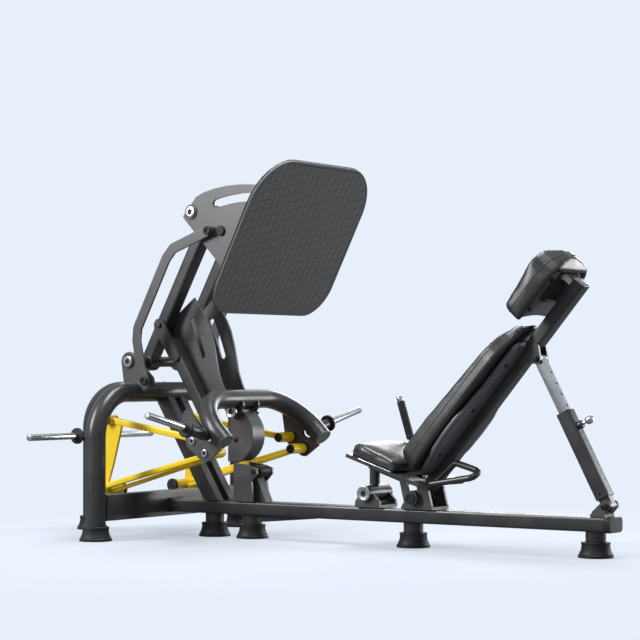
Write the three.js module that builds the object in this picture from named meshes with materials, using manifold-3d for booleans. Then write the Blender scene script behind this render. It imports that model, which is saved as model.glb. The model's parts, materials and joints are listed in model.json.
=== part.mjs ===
// A plate-loaded leg press. Millimetres, +Z up, +X towards the seat end, symmetric about Y = 0.
// The side with negative Y is called left, the side with positive Y is called right.
import * as THREE from "three";
import { mergeVertices } from "three/addons/utils/BufferGeometryUtils.js";
import Module from "manifold-3d";

const wasm = await Module();
wasm.setup();

// ---------------------------------------------------------------- driving dimensions
const GAP = 0.3;                  // kept between pieces that touch
const REACH = 5;                  // how far a cutting tool runs past the faces it cuts
const CENTRE_X = 357;             // middle of the length, measured from the pedestal foot

const ARCH_RADIUS = 40;           // the large round frame tubes
const REAR_X = -853;              // rear arch leg
const PORTAL_X = -424;            // plane of the portal arch
const PORTAL_HALF = 474;          // portal legs, each side of the middle
const ARCH_TOP = 590;             // centre height of the arch tops
const ARCH_BEND = 185;            // bend radius of the arches
const REAR_BEND = 160;

const BEAM = { low: 95, high: 149, half: 50, end: 1606 };
const END_CAP_X = 1631;
const BASE_BEAM = { low: 77, high: 182, half: 25 };
const FOOT = { radius: 65, top: 52, height: 57 };
const STUB_RADIUS = 38;
const FOOT_X = { tower: -192, pedestal: 0, seat: 769, front: 1549 };

const ARM_PIVOT = [-452, 714];    // press arm on the portal brackets
const LINK_PIVOT = [-350, 636];   // control links on the portal brackets
const CARRIER_PIVOT = [-128, 1309];
const LINK_TOP = [-26, 1231];     // control links on the footplate carrier
const SIDE_PLATE = [225, 237];    // portal brackets and carrier plates, distance from the middle
const LINK_LAYER = [251, 261];    // control links lie outside the side plates
const ARM_LAYER = [73, 133];      // press arm tubes
const FIN_LAYER = [62, 72.7];     // curved fin plates, inside the lift rods
const SHAFT_RADIUS = 21.5;
const PIN_RADIUS = 11;

const KNEE = [-371, 863.6];       // lift rods on the press arm
const WEIGHT_PIVOT = [-548, 190];
const HUB_UPPER = [-40, 400];     // front hubs of the yellow frames
const HUB_LOWER = [22, 354];
const FRAME_TOP = [-515, 476];    // upper rear corner of the yellow frames
const CROSSBAR = [-50, 562];
const ARM_END = [114, 401];
const ARM_HALF = 335;
const U_RADIUS = 38;
const U_BEND = 195;
const HORN = { base: [40, 475, 453], tip: [42, 720, 509], radius: 14, collar: 35 };
const SECTOR = { centre: [-80, 415], radius: 113, hub: [-50, 512] };

const PLATE = { centre: [213, 1194], tilt: 27, width: 784, height: 662, corner: 140, crown: 196 };

const BUMPER = [46, 272];         // rubber stop in front of the pedestal

const SEAT_FRONT = [565, 347];    // lower front edge of the seat board
const SEAT_TILT = 18;
const BACK_PIVOT = [808, 193];
const BACK_DIR = new THREE.Vector2(684, 804).normalize();
const STRUT_TOP = [1320, 721];
const STRUT_BASE = [1603, 188];
const LEVER_PIVOT = [674, 262];

const SIDES = { left: -1, right: 1 };

// ---------------------------------------------------------------- materials
const finish = (color, roughness, metalness) => ({ color, roughness, metalness });
const FINISHES = {
  frame: finish(0x3b3c3e, 0.42, 0.55),
  plate: finish(0x454648, 0.45, 0.5),
  yellow: finish(0xf2c40f, 0.4, 0.1),
  chrome: finish(0xd8d8d4, 0.15, 1.0),
  rubber: finish(0x1c1c1e, 0.8, 0.0),
  mat: finish(0x4a4a4c, 0.85, 0.0),
  leather: finish(0x2b2b2d, 0.35, 0.0),
  cover: finish(0x6f7072, 0.5, 0.1),
};

// ---------------------------------------------------------------- joining and cutting
function solidOf(geometry) {
  const bare = geometry.clone();
  bare.deleteAttribute("normal");
  bare.deleteAttribute("uv");
  const merged = mergeVertices(bare, 1e-4);
  return new wasm.Manifold(new wasm.Mesh({
    numProp: 3,
    vertProperties: new Float32Array(merged.attributes.position.array),
    triVerts: new Uint32Array(merged.index.array),
  }));
}

function geometryOf(solid) {
  const mesh = solid.getMesh();
  const geometry = new THREE.BufferGeometry();
  geometry.setAttribute("position", new THREE.BufferAttribute(mesh.vertProperties, 3));
  geometry.setIndex(new THREE.BufferAttribute(mesh.triVerts, 1));
  return geometry;
}

function join(first, ...others) {
  return geometryOf(others.reduce((sum, item) => sum.add(solidOf(item)), solidOf(first)));
}

function cut(body, ...tools) {
  return geometryOf(tools.reduce((rest, tool) => rest.subtract(solidOf(tool)), solidOf(body)));
}

function common(a, b) {
  return geometryOf(solidOf(a).intersect(solidOf(b)));
}

// ---------------------------------------------------------------- shapes
function box(x, y, z) {
  const geometry = new THREE.BoxGeometry(x[1] - x[0], y[1] - y[0], z[1] - z[0]);
  return geometry.translate((x[0] + x[1]) / 2, (y[0] + y[1]) / 2, (z[0] + z[1]) / 2);
}

// A round bar between two points.
function rod(from, to, radius, segments = 14) {
  const a = new THREE.Vector3(...from);
  const b = new THREE.Vector3(...to);
  const geometry = new THREE.CylinderGeometry(radius, radius, a.distanceTo(b), segments);
  const turn = new THREE.Quaternion().setFromUnitVectors(
    new THREE.Vector3(0, 1, 0), b.clone().sub(a).normalize());
  return geometry.applyQuaternion(turn).translate(...a.add(b).multiplyScalar(0.5).toArray());
}

// A round bar across the machine at a point of the side view.
function crossRod([x, z], y0, y1, radius, segments = 14) {
  return rod([x, y0, z], [x, y1, z], radius, segments);
}

// A rectangle whose two upper corners may be rounder than its lower ones.
function roundedRectangle(width, height, radius, segments = 2, upper = radius) {
  const points = [];
  [[1, 1], [-1, 1], [-1, -1], [1, -1]].forEach(([right, up], corner) => {
    const r = up > 0 ? upper : radius;
    const centre = [(width / 2 - r) * right, (height / 2 - r) * up];
    for (let i = 0; i <= segments; i += 1) {
      const angle = (corner + i / segments) * Math.PI / 2;
      points.push(new THREE.Vector2(centre[0] + r * Math.cos(angle), centre[1] + r * Math.sin(angle)));
    }
  });
  return new THREE.Shape(points);
}

// A straight bar whose section is `height` deep in the side view and `width` wide across it.
function bar(from, to, height, width, radius = 8) {
  const a = new THREE.Vector3(...from);
  const b = new THREE.Vector3(...to);
  const along = b.clone().sub(a);
  const geometry = new THREE.ExtrudeGeometry(roundedRectangle(width, height, radius), {
    depth: along.length(), bevelEnabled: false, curveSegments: 3 });
  const forward = along.normalize();
  const side = Math.abs(forward.y) > 0.9 ? new THREE.Vector3(1, 0, 0) : new THREE.Vector3(0, 1, 0);
  const third = new THREE.Vector3().crossVectors(forward, side).normalize();
  return geometry.applyMatrix4(new THREE.Matrix4().makeBasis(side, third, forward)).translate(...a.toArray());
}

// A bar in the side view, centred on a layer across the machine.
function sideBar(a, b, height, y0, y1, radius = 8) {
  const y = (y0 + y1) / 2;
  return bar([a[0], y, a[1]], [b[0], y, b[1]], height, Math.abs(y1 - y0), radius);
}

// A flat plate: an outline in the side view, thick from y0 to y1.
function sidePlate(outline, y0, y1, holes = []) {
  const points = outline.map((p) => new THREE.Vector2(...p));
  if (THREE.ShapeUtils.isClockWise(points)) points.reverse();
  const shape = new THREE.Shape(points);
  shape.holes.push(...holes);
  const low = Math.min(y0, y1);
  const high = Math.max(y0, y1);
  const geometry = new THREE.ExtrudeGeometry(shape, {
    depth: high - low, bevelEnabled: false, curveSegments: 8 });
  return geometry.rotateX(Math.PI / 2).translate(0, high, 0);
}

// The outline that a belt would take round a list of discs [x, z, radius], given anticlockwise.
function beltOutline(discs, segments = 4) {
  const points = [];
  discs.forEach(([x, z, radius], i) => {
    const before = discs[(i + discs.length - 1) % discs.length];
    const after = discs[(i + 1) % discs.length];
    const start = tangentAngle(before, [x, z, radius]);
    let end = tangentAngle([x, z, radius], after);
    while (end < start) end += 2 * Math.PI;
    for (let k = 0; k <= segments; k += 1) {
      const angle = start + (end - start) * k / segments;
      points.push([x + radius * Math.cos(angle), z + radius * Math.sin(angle)]);
    }
  });
  return points;
}

function tangentAngle([ax, az, ar], [bx, bz, br]) {
  const heading = Math.atan2(bz - az, bx - ax);
  const distance = Math.hypot(bx - ax, bz - az);
  return heading - Math.PI / 2 + Math.asin((br - ar) / distance);
}

function slotHole(a, b, radius, bulge = 0) {
  const middle = [(a[0] + b[0]) / 2, (a[1] + b[1]) / 2 + bulge];
  const curve = new THREE.QuadraticBezierCurve(
    new THREE.Vector2(...a), new THREE.Vector2(...middle), new THREE.Vector2(...b));
  const upper = [];
  const lower = [];
  for (let i = 0; i <= 6; i += 1) {
    const p = curve.getPoint(i / 6);
    const t = curve.getTangent(i / 6);
    upper.push(new THREE.Vector2(p.x - t.y * radius, p.y + t.x * radius));
    lower.push(new THREE.Vector2(p.x + t.y * radius, p.y - t.x * radius));
  }
  const tip = (centre, from, to) => Array.from({ length: 3 }, (_, i) => {
    const angle = from + (to - from) * (i + 1) / 4;
    return new THREE.Vector2(centre.x + radius * Math.cos(angle), centre.y + radius * Math.sin(angle));
  });
  const endTangent = curve.getTangent(1).angle();
  const startTangent = curve.getTangent(0).angle();
  return new THREE.Path([
    ...upper, ...tip(curve.getPoint(1), endTangent + Math.PI / 2, endTangent - Math.PI / 2),
    ...lower.reverse(), ...tip(curve.getPoint(0), startTangent - Math.PI / 2, startTangent - 3 * Math.PI / 2),
  ]);
}

// A path that keeps exactly the points it is given, so a swept tube has rings only where it bends.
class BentPath extends THREE.Curve {
  constructor(points) {
    super();
    this.points = points;
  }

  getPoint(t) {
    const place = Math.min(Math.max(t, 0), 1) * (this.points.length - 1);
    const index = Math.min(Math.floor(place), this.points.length - 2);
    return this.points[index].clone().lerp(this.points[index + 1], place - index);
  }

  getPointAt(u) {
    return this.getPoint(u);
  }

  getTangentAt(u) {
    return this.getTangent(u);
  }
}

// Corner points become arcs of the given radius.
function roundedCorners(corners, radius, steps = 6) {
  const points = [new THREE.Vector3(...corners[0])];
  for (let i = 1; i < corners.length - 1; i += 1) {
    const corner = new THREE.Vector3(...corners[i]);
    const back = new THREE.Vector3(...corners[i - 1]).sub(corner).normalize();
    const ahead = new THREE.Vector3(...corners[i + 1]).sub(corner).normalize();
    const half = Math.acos(back.dot(ahead)) / 2;
    const reach = radius / Math.tan(half);
    const middle = back.clone().add(ahead).normalize();
    const centre = corner.clone().addScaledVector(middle, radius / Math.sin(half));
    const start = corner.clone().addScaledVector(back, reach).sub(centre);
    const end = corner.clone().addScaledVector(ahead, reach).sub(centre);
    const sweep = start.angleTo(end);
    for (let k = 0; k <= steps; k += 1) {
      const a = Math.sin(sweep * (1 - k / steps)) / Math.sin(sweep);
      const b = Math.sin(sweep * k / steps) / Math.sin(sweep);
      points.push(centre.clone().addScaledVector(start, a).addScaledVector(end, b));
    }
  }
  points.push(new THREE.Vector3(...corners[corners.length - 1]));
  return points;
}

function tube(corners, bend, radius, sides = 18) {
  const points = roundedCorners(corners, bend);
  const ring = new THREE.Shape(Array.from({ length: sides }, (_, i) => {
    const angle = 2 * Math.PI * i / sides;
    return new THREE.Vector2(radius * Math.cos(angle), radius * Math.sin(angle));
  }));
  return new THREE.ExtrudeGeometry(ring, {
    steps: points.length - 1, bevelEnabled: false, extrudePath: new BentPath(points) });
}

function turned(profile, segments = 18) {
  const points = profile.map(([r, z]) => new THREE.Vector2(r, z));
  return new THREE.LatheGeometry(points, segments).rotateX(Math.PI / 2);
}

// ---------------------------------------------------------------- the scene graph
const machine = new THREE.Group();
machine.position.x = -CENTRE_X;

function add(name, geometry, finishName) {
  const mesh = new THREE.Mesh(geometry, new THREE.MeshStandardMaterial(FINISHES[finishName]));
  mesh.name = name;
  machine.add(mesh);
}

function bothSides(make) {
  Object.entries(SIDES).forEach(([name, sign]) => make(name, sign));
}

const layer = ([inner, outer], sign) => [inner * sign, outer * sign];

// ---------------------------------------------------------------- base and arches
function addBase() {
  const beam = bar([REAR_X + ARCH_RADIUS + GAP, 0, 122], [BEAM.end, 0, 122],
    BEAM.high - BEAM.low, 2 * BEAM.half, 10);
  const stubs = Object.values(FOOT_X).map((x) =>
    rod([x, 0, FOOT.height + GAP], [x, 0, BEAM.low + 5], STUB_RADIUS));
  const wedge = sidePlate([[36, 100], [36, 66], [330, 92], [330, 100]], -20, 20);
  add("main_beam", join(beam, ...stubs, wedge), "frame");
  add("beam_end_cap", bar([BEAM.end + GAP, 0, 121], [END_CAP_X, 0, 121], 56, 106, 14), "rubber");

  const reach = PORTAL_HALF - ARCH_RADIUS - GAP;
  const across = box([PORTAL_X - BASE_BEAM.half, PORTAL_X + BASE_BEAM.half], [-reach, reach],
    [BASE_BEAM.low, BASE_BEAM.high]);
  const passage = box([PORTAL_X - 60, PORTAL_X + 60], [-BEAM.half - GAP, BEAM.half + GAP],
    [BEAM.low - GAP, BEAM.high + GAP]);
  add("portal_base_beam", cut(across, passage), "frame");

  const foot = [[0, 0], [FOOT.radius, 0], [FOOT.radius, 12], [58, 20],
    [FOOT.top, FOOT.height], [0, FOOT.height]];
  const places = {
    foot_rear: [REAR_X, 0],
    foot_portal_left: [PORTAL_X, -PORTAL_HALF],
    foot_portal_right: [PORTAL_X, PORTAL_HALF],
    foot_tower: [FOOT_X.tower, 0],
    foot_pedestal: [FOOT_X.pedestal, 0],
    foot_seat: [FOOT_X.seat, 0],
    foot_front: [FOOT_X.front, 0],
  };
  Object.entries(places).forEach(([name, [x, y]]) => {
    add(name, turned(foot).translate(x, y, 0), "rubber");
  });
}

function addArches() {
  const low = FOOT.height + GAP;
  add("portal_arch", tube([[PORTAL_X, -PORTAL_HALF, low], [PORTAL_X, -PORTAL_HALF, ARCH_TOP],
    [PORTAL_X, PORTAL_HALF, ARCH_TOP], [PORTAL_X, PORTAL_HALF, low]], ARCH_BEND, ARCH_RADIUS), "frame");

  const rear = tube([[REAR_X, 0, low], [REAR_X, 0, ARCH_TOP], [PORTAL_X, 0, ARCH_TOP]],
    REAR_BEND, ARCH_RADIUS);
  const portalTop = crossRod([PORTAL_X, ARCH_TOP], -150, 150, ARCH_RADIUS + GAP, 18);
  const archTop = rod([REAR_X, 0, ARCH_TOP], [PORTAL_X, 0, ARCH_TOP], ARCH_RADIUS + 2, 18);
  add("rear_arch", cut(rear, portalTop), "frame");

  bothSides((side, sign) => {
    const post = sidePlate([[-201, BEAM.high + GAP], [-131, BEAM.high + GAP], [-395, 577], [-465, 577]],
      20 * sign, 60 * sign);
    add(`tower_post_${side}`, cut(post, portalTop, archTop), "frame");

    const y0 = (ARCH_RADIUS + GAP) * sign;
    const y1 = 92 * sign;
    const collar = rod([REAR_X, y0, 400], [REAR_X, y1, 400], 20);
    const disc = rod([REAR_X, y1, 400], [REAR_X, y1 + 14 * sign, 400], 34, 20);
    const horn = rod([REAR_X, y1, 400], [REAR_X, 400 * sign, 400], 14);
    add(`storage_horn_${side}`, join(collar, disc, horn), "chrome");
  });
}

function addPortalBrackets() {
  const portalTop = crossRod([PORTAL_X, ARCH_TOP], -300, 300, ARCH_RADIUS + GAP, 18);
  bothSides((side, sign) => {
    const outline = beltOutline([[...ARM_PIVOT, 40], [-448, 620, 30], [-398, 604, 20],
      [...LINK_PIVOT, 26]]);
    const plate = sidePlate(outline, ...layer(SIDE_PLATE, sign));
    const shaftHole = crossRod(ARM_PIVOT, 200 * sign, 300 * sign, 14);
    const pin = crossRod(LINK_PIVOT, 228 * sign, 263 * sign, PIN_RADIUS, 16);
    add(`link_bracket_${side}`, join(cut(plate, portalTop, shaftHole), pin), "plate");
  });
  const shaft = crossRod(ARM_PIVOT, -SIDE_PLATE[0] + GAP, SIDE_PLATE[0] - GAP, SHAFT_RADIUS);
  add("press_pivot_shaft", shaft, "frame");
}

// ---------------------------------------------------------------- press arm and its parallel links
function addPressArm() {
  const spine = [CARRIER_PIVOT[0] - ARM_PIVOT[0], CARRIER_PIVOT[1] - ARM_PIVOT[1]];
  const onSpine = (share) => [ARM_PIVOT[0] + spine[0] * share, ARM_PIVOT[1] + spine[1] * share];
  bothSides((side, sign) => {
    const [y0, y1] = layer(ARM_LAYER, sign);
    const beam = sideBar(onSpine(0), onSpine(1), 52, y0, y1);
    const bosses = [ARM_PIVOT, CARRIER_PIVOT].map((p) => crossRod(p, y0, y1, 37));
    const bores = [ARM_PIVOT, CARRIER_PIVOT].map((p) =>
      crossRod(p, y0 - REACH * sign, y1 + REACH * sign, SHAFT_RADIUS + 1));
    const kneePin = crossRod(KNEE, 58 * sign, 148 * sign, PIN_RADIUS);
    add(`press_arm_${side}`, join(cut(join(beam, ...bosses), ...bores), kneePin), "frame");
  });
}

function addControlLinks() {
  const path = [LINK_PIVOT, [-374, 700], [-393, 800], [-388, 850], [-240, 1128], [-205, 1166], LINK_TOP];
  bothSides((side, sign) => {
    const [y0, y1] = layer(LINK_LAYER, sign);
    const legs = path.slice(1).map((p, i) =>
      sidePlate(beltOutline([[...path[i], 21], [...p, 21]], 5), y0, y1));
    const bores = [LINK_PIVOT, LINK_TOP].map((p) =>
      crossRod(p, y0 - REACH * sign, y1 + REACH * sign, PIN_RADIUS + 0.5, 16));
    add(`control_link_${side}`, cut(join(...legs), ...bores), "plate");
  });
}

// ---------------------------------------------------------------- footplate and its carrier
const plateTilt = THREE.MathUtils.degToRad(PLATE.tilt);
const plateUp = [Math.sin(plateTilt), Math.cos(plateTilt)];
const plateFront = [Math.cos(plateTilt), -Math.sin(plateTilt)];

// A point of the side view, given by height along the plate and distance in front of its face.
function onPlate(up, front) {
  return [PLATE.centre[0] + plateUp[0] * up + plateFront[0] * front,
    PLATE.centre[1] + plateUp[1] * up + plateFront[1] * front];
}

// The footplate's outline, drawn in from its edge.
function plateOutline(inset) {
  return roundedRectangle(PLATE.width - 2 * inset, PLATE.height - 2 * inset,
    PLATE.corner - inset, 8, PLATE.crown - inset);
}

// A panel parallel to the footplate, from `back` to `front` behind its face.
function panel(outline, back, front) {
  const geometry = new THREE.ExtrudeGeometry(outline, {
    depth: front - back, bevelEnabled: false });
  const basis = new THREE.Matrix4().makeBasis(
    new THREE.Vector3(0, 1, 0),
    new THREE.Vector3(plateUp[0], 0, plateUp[1]),
    new THREE.Vector3(plateFront[0], 0, plateFront[1]));
  const [x, z] = onPlate(0, back);
  return geometry.applyMatrix4(basis).translate(x, 0, z);
}

function addFootplate() {
  add("footplate_mat", panel(plateOutline(3), -10, 0), "mat");
  add("footplate", join(panel(plateOutline(0), -15, -10 - GAP), panel(plateOutline(60), -30, -14)), "plate");

  const ribs = [-150, 160].map((up) => {
    const [x, z] = onPlate(up, -64);
    const turn = (geometry) => geometry.translate(-x, 0, -z).rotateY(plateTilt).translate(x, 0, z);
    return turn(bar([x, -SIDE_PLATE[0] + GAP, z], [x, SIDE_PLATE[0] - GAP, z], 60, 50, 6));
  });
  const pad = panel(roundedRectangle(300, 420, 30), -42, -30 - GAP);
  add("footplate_backing", join(pad, ...ribs), "plate");
}

function addCarrier() {
  const corner = 3;
  const crest = [[170, 1402, corner], [110, 1405, corner], [50, 1403, corner], [-10, 1395, corner],
    [-62, 1383, corner], [-104, 1366, corner]];
  const outline = beltOutline([
    [...CARRIER_PIVOT, 44], [...onPlate(-170, -64), 30], [...onPlate(-120, -34), corner],
    [...onPlate(205, -34), corner], ...crest,
  ], 4);
  bothSides((side, sign) => {
    const [y0, y1] = layer(SIDE_PLATE, sign);
    const plate = sidePlate(outline, y0, y1, [slotHole([-4, 1338], [188, 1356], 17, 14)]);
    const boltHole = crossRod(CARRIER_PIVOT, y0 - REACH * sign, y1 + REACH * sign, 14);
    const pin = crossRod(LINK_TOP, 228 * sign, 263 * sign, PIN_RADIUS, 16);
    const ledge = box([64, 138], [231 * sign, 196 * sign].sort((a, b) => a - b), [1258, 1268]);
    add(`carrier_plate_${side}`, join(cut(plate, boltHole), pin, ledge), "plate");
  });
  const shaft = crossRod(CARRIER_PIVOT, -SIDE_PLATE[0] + GAP, SIDE_PLATE[0] - GAP, SHAFT_RADIUS);
  add("carrier_shaft", shaft, "frame");
}

// ---------------------------------------------------------------- lift rods with their fins
function addLiftRods() {
  const along = new THREE.Vector2(-209 - KNEE[0], 599 - KNEE[1]).normalize();
  const from = (distance) => [KNEE[0] + along.x * distance, KNEE[1] + along.y * distance];
  bothSides((side, sign) => {
    const [y0, y1] = layer(ARM_LAYER, sign);
    const beam = sideBar(from(80), from(440), 52, y0, y1);
    const cheek = sidePlate(beltOutline([[...KNEE, 28], [...from(150), 24]]),
      y1 - 0.5 * sign, y1 + 10 * sign);
    const armSide = crossRod(KNEE, y1 + GAP * sign, y0, 74, 20);
    const bore = crossRod(KNEE, 40 * sign, 160 * sign, PIN_RADIUS + 0.5);
    add(`lift_rod_${side}`, cut(join(beam, cut(cheek, armSide)), bore), "frame");

    const slot = slotHole([-256, 880], [-198, 738], 13, 12);
    const fin = sidePlate([[-400, 872], [-392, 888], [-371, 894], [-352, 889], [-243, 975],
      [-229, 950], [-205, 920], [-181, 884], [-160, 840], [-143, 785], [-131, 730], [-120, 672],
      [-104, 628], [-88, 596], [-96, 560], [-140, 500],
      [-190, 560], [-392, 846]], ...layer(FIN_LAYER, sign), [slot]);
    const crossbarRoom = crossRod(CROSSBAR, 40 * sign, 90 * sign, U_RADIUS + 9);
    add(`fin_plate_${side}`, cut(fin, crossbarRoom, bore), "plate");
  });
}

// ---------------------------------------------------------------- weight arm
function addWeightArm() {
  const ends = [[ARM_END[0], -ARM_HALF, ARM_END[1]], [CROSSBAR[0], -ARM_HALF, CROSSBAR[1]],
    [CROSSBAR[0], ARM_HALF, CROSSBAR[1]], [ARM_END[0], ARM_HALF, ARM_END[1]]];
  const hornPoint = (y, sign) => {
    const share = (y - HORN.base[1]) / (HORN.tip[1] - HORN.base[1]);
    return [HORN.base[0] + (HORN.tip[0] - HORN.base[0]) * share, y * sign,
      HORN.base[2] + (HORN.tip[2] - HORN.base[2]) * share];
  };
  const stubs = Object.values(SIDES).map((sign) =>
    rod(hornPoint(345, sign), hornPoint(HORN.base[1] - GAP, sign), 22));
  add("u_bar", join(tube(ends, U_BEND, U_RADIUS), ...stubs), "frame");

  bothSides((side, sign) => {
    const disc = rod(hornPoint(HORN.base[1], sign), hornPoint(HORN.base[1] + 14, sign), HORN.collar, 20);
    const horn = rod(hornPoint(HORN.base[1], sign), hornPoint(HORN.tip[1], sign), HORN.radius);
    add(`working_horn_${side}`, join(disc, horn), "chrome");

    const web = sidePlate(beltOutline([[-66, 500, 24], [...HUB_UPPER, 34], [...HUB_LOWER, 34],
      [84, 384, 22]]), 329 * sign, 341 * sign);
    const armTube = rod([ARM_END[0] + 60, ARM_HALF * sign, ARM_END[1] - 59],
      [CROSSBAR[0], ARM_HALF * sign, CROSSBAR[1]], U_RADIUS + GAP);
    const stub = rod(hornPoint(300, sign), hornPoint(400, sign), 22 + GAP);
    const bend = tube([[ARM_END[0], ARM_HALF * sign, ARM_END[1]],
      [CROSSBAR[0], ARM_HALF * sign, CROSSBAR[1]], [CROSSBAR[0], 0, CROSSBAR[1]]], U_BEND, U_RADIUS + GAP);
    add(`gusset_${side}`, cut(web, armTube, stub, bend), "plate");
  });
}

function addYellowFrames() {
  bothSides((side, sign) => {
    const bars = layer([262, 284], sign);
    const upper = sideBar(FRAME_TOP, HUB_UPPER, 26, ...bars, 5);
    const lower = sideBar([-540, 206], HUB_LOWER, 22, ...bars, 5);
    const innerBar = sideBar([-540, 180], [HUB_LOWER[0] - 4, HUB_LOWER[1] - 12], 16, ...layer([236, 258], sign), 4);
    const rearPlate = sidePlate([[-548, 490], [-452, 470], [-500, 300], [-536, 196], [-560, 196]],
      ...layer([266, 278], sign));
    const hubs = [HUB_UPPER, HUB_LOWER].map((p) => crossRod(p, 235 * sign, 328 * sign, 21));
    const topHub = crossRod(FRAME_TOP, 250 * sign, 300 * sign, 20);
    const pivotHub = crossRod(WEIGHT_PIVOT, 175 * sign, 345 * sign, 23);
    const bore = crossRod(WEIGHT_PIVOT, 165 * sign, 355 * sign, 12.5);
    const frame = join(upper, lower, innerBar, rearPlate, ...hubs, topHub, pivotHub);
    add(`yellow_frame_${side}`, cut(frame, bore), "yellow");

    const ear = sidePlate([[-575, 166], [PORTAL_X - BASE_BEAM.half - GAP, 100],
      [PORTAL_X - BASE_BEAM.half - GAP, 178], [-548, 222], [-572, 212]], ...layer([350, 362], sign));
    const shaft = crossRod(WEIGHT_PIVOT, 180 * sign, 368 * sign, 12);
    add(`weight_pivot_bracket_${side}`, join(ear, shaft), "plate");
  });
}

function addSector() {
  const [cx, cz] = SECTOR.centre;
  const arc = Array.from({ length: 11 }, (_, i) => {
    const angle = THREE.MathUtils.degToRad(-68 + 12.6 * i);
    return [cx + SECTOR.radius * Math.cos(angle), cz + SECTOR.radius * Math.sin(angle)];
  });
  const outline = [[cx - 14, cz - 106], ...arc, [-34, 524], [-66, 524], [cx - 14, 500]];
  const cheeks = [[-40, -30], [30, 40]].map((layers) => sidePlate(outline, ...layers));
  const inner = Array.from({ length: 11 }, (_, i) => {
    const angle = THREE.MathUtils.degToRad(58 - 12.6 * i);
    return [cx + (SECTOR.radius - 16) * Math.cos(angle), cz + (SECTOR.radius - 16) * Math.sin(angle)];
  });
  const rim = sidePlate([...arc, ...inner], -31, 31);
  const hub = crossRod(SECTOR.hub, -72, 72, 17);
  const crossbar = crossRod(CROSSBAR, -100, 100, U_RADIUS + 1.5, 18);
  const hangers = [[-56, -46], [46, 56]].map((layers) =>
    sidePlate(beltOutline([[...SECTOR.hub, 30], [CROSSBAR[0] + 20, CROSSBAR[1] - 22, 26],
      [CROSSBAR[0] - 20, CROSSBAR[1] - 22, 26]]), ...layers));
  add("sector", cut(join(...cheeks, rim, hub, ...hangers), crossbar), "plate");
}

function addPedestal() {
  const outline = [[-53, BEAM.high + GAP], [46, BEAM.high + GAP], [36, 232], [64, 262], [62, 284],
    [24, 296], [-53, 306]];
  const cheeks = [[-58, -46], [46, 58]].map((layers) => sidePlate(outline, ...layers));
  const web = box([-48, 20], [-46.5, 46.5], [BEAM.high + GAP, 286]);
  const brace = sidePlate([[18, BEAM.high + GAP], [86, BEAM.high + GAP], [40, 246], [18, 246]], -24, 24);
  add("pedestal", join(...cheeks, web, brace), "plate");
  const roller = crossRod(BUMPER, -34, 34, 24, 18);
  const axle = crossRod(BUMPER, -46 + GAP, 46 - GAP, 9);
  add("stop_bumper", join(roller, axle), "rubber");
}

// ---------------------------------------------------------------- seat
const seatTilt = THREE.MathUtils.degToRad(SEAT_TILT);

// A point of the side view, given along the seat from its front edge and up from the board.
function onSeat(along, up) {
  return [SEAT_FRONT[0] + Math.cos(seatTilt) * along + Math.sin(seatTilt) * up,
    SEAT_FRONT[1] - Math.sin(seatTilt) * along + Math.cos(seatTilt) * up];
}

function addSeat() {
  const board = sidePlate([onSeat(0, 0), onSeat(345, 0), onSeat(345, 14), onSeat(0, 14)], -165, 165);
  const notch = sidePlate([onSeat(222, -8), onSeat(360, -8), onSeat(360, 24), onSeat(222, 24)], -72, 72);
  const rail = sideBar(onSeat(28, -20), onSeat(214, -20), 46, -28, 28);
  const post = rod([592, 0, 236], [592, 0, 310], 20);
  const tab = sidePlate(beltOutline([[...LEVER_PIVOT, 20], [...onSeat(150, 4), 10],
    [...onSeat(90, 4), 10]]), 150, 162);
  const leverPin = crossRod(LEVER_PIVOT, 155, 216, 8);
  add("seat_frame", join(cut(board, notch), rail, post, tab, leverPin), "frame");

  const pad = sidePlate([onSeat(4, 14 + GAP), onSeat(226, 14 + GAP), onSeat(232, 34), onSeat(214, 56),
    onSeat(36, 66), onSeat(8, 50), onSeat(0, 30)], -178, 178);
  const padFace = faceBlock([[104, 0], [138, 6], [164, 26], [178, 62], [178, 240]], onSeat, [0, 90]);
  add("seat_pad", common(pad, padFace), "leather");

  const cradle = [[-64, -52], [52, 64]].map((layers) => sidePlate(
    beltOutline([[592, 204, 24], [556, 166, 15], [640, 166, 15]]), ...layers));
  const cradleBase = box([541, 655], [-64, 64], [BEAM.high + GAP, 160]);
  const roller = crossRod([592, 204], -78, 78, 31.7, 20);
  add("front_support", join(...cradle, cradleBase, roller), "plate");
}

function addSeatBracket() {
  const base = box([752, 890], [-62, 62], [BEAM.high + GAP, 160]);
  const ears = [[-62, -50], [50, 62]].map((layers) => sidePlate(
    beltOutline([[...BACK_PIVOT, 28], [766, 164, 10], [878, 164, 10], [862, 226, 10]]), ...layers));
  const struts = [[-62, -50], [50, 62]].map((layers) => sidePlate(
    [[770, 154], [800, 154], onSeat(215, -1), onSeat(180, -1)], ...layers));
  const hub = crossRod(BACK_PIVOT, -86, -30 - 5, 29, 20);
  const farHub = crossRod(BACK_PIVOT, 35, 86, 29, 20);
  const pin = crossRod(BACK_PIVOT, -60, 60, 14);
  add("seat_bracket", join(base, ...ears, ...struts, hub, farHub, pin), "plate");

  const rail = tube([[901, -88, 250], [1084, -88, 280], [1090, -46, 302], [985, -48, 331],
    [871, -48, 233]], 20, 12.5, 12);
  add("hand_rail", rail, "frame");
}

function addLever() {
  const tip = [573, 577];
  const towards = (share) => [LEVER_PIVOT[0] + (tip[0] - LEVER_PIVOT[0]) * share, 205,
    LEVER_PIVOT[1] + (tip[1] - LEVER_PIVOT[1]) * share];
  const boss = crossRod(LEVER_PIVOT, 195, 214, 16);
  const bore = crossRod(LEVER_PIVOT, 180, 230, 8.5);
  const shank = rod(towards(0.03), towards(0.5), 9);
  const grip = rod(towards(0.46), towards(0.93), 16);
  const cap = rod(towards(0.92), towards(1), 13);
  add("release_lever", cut(join(boss, shank, grip, cap), bore), "rubber");
}

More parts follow.
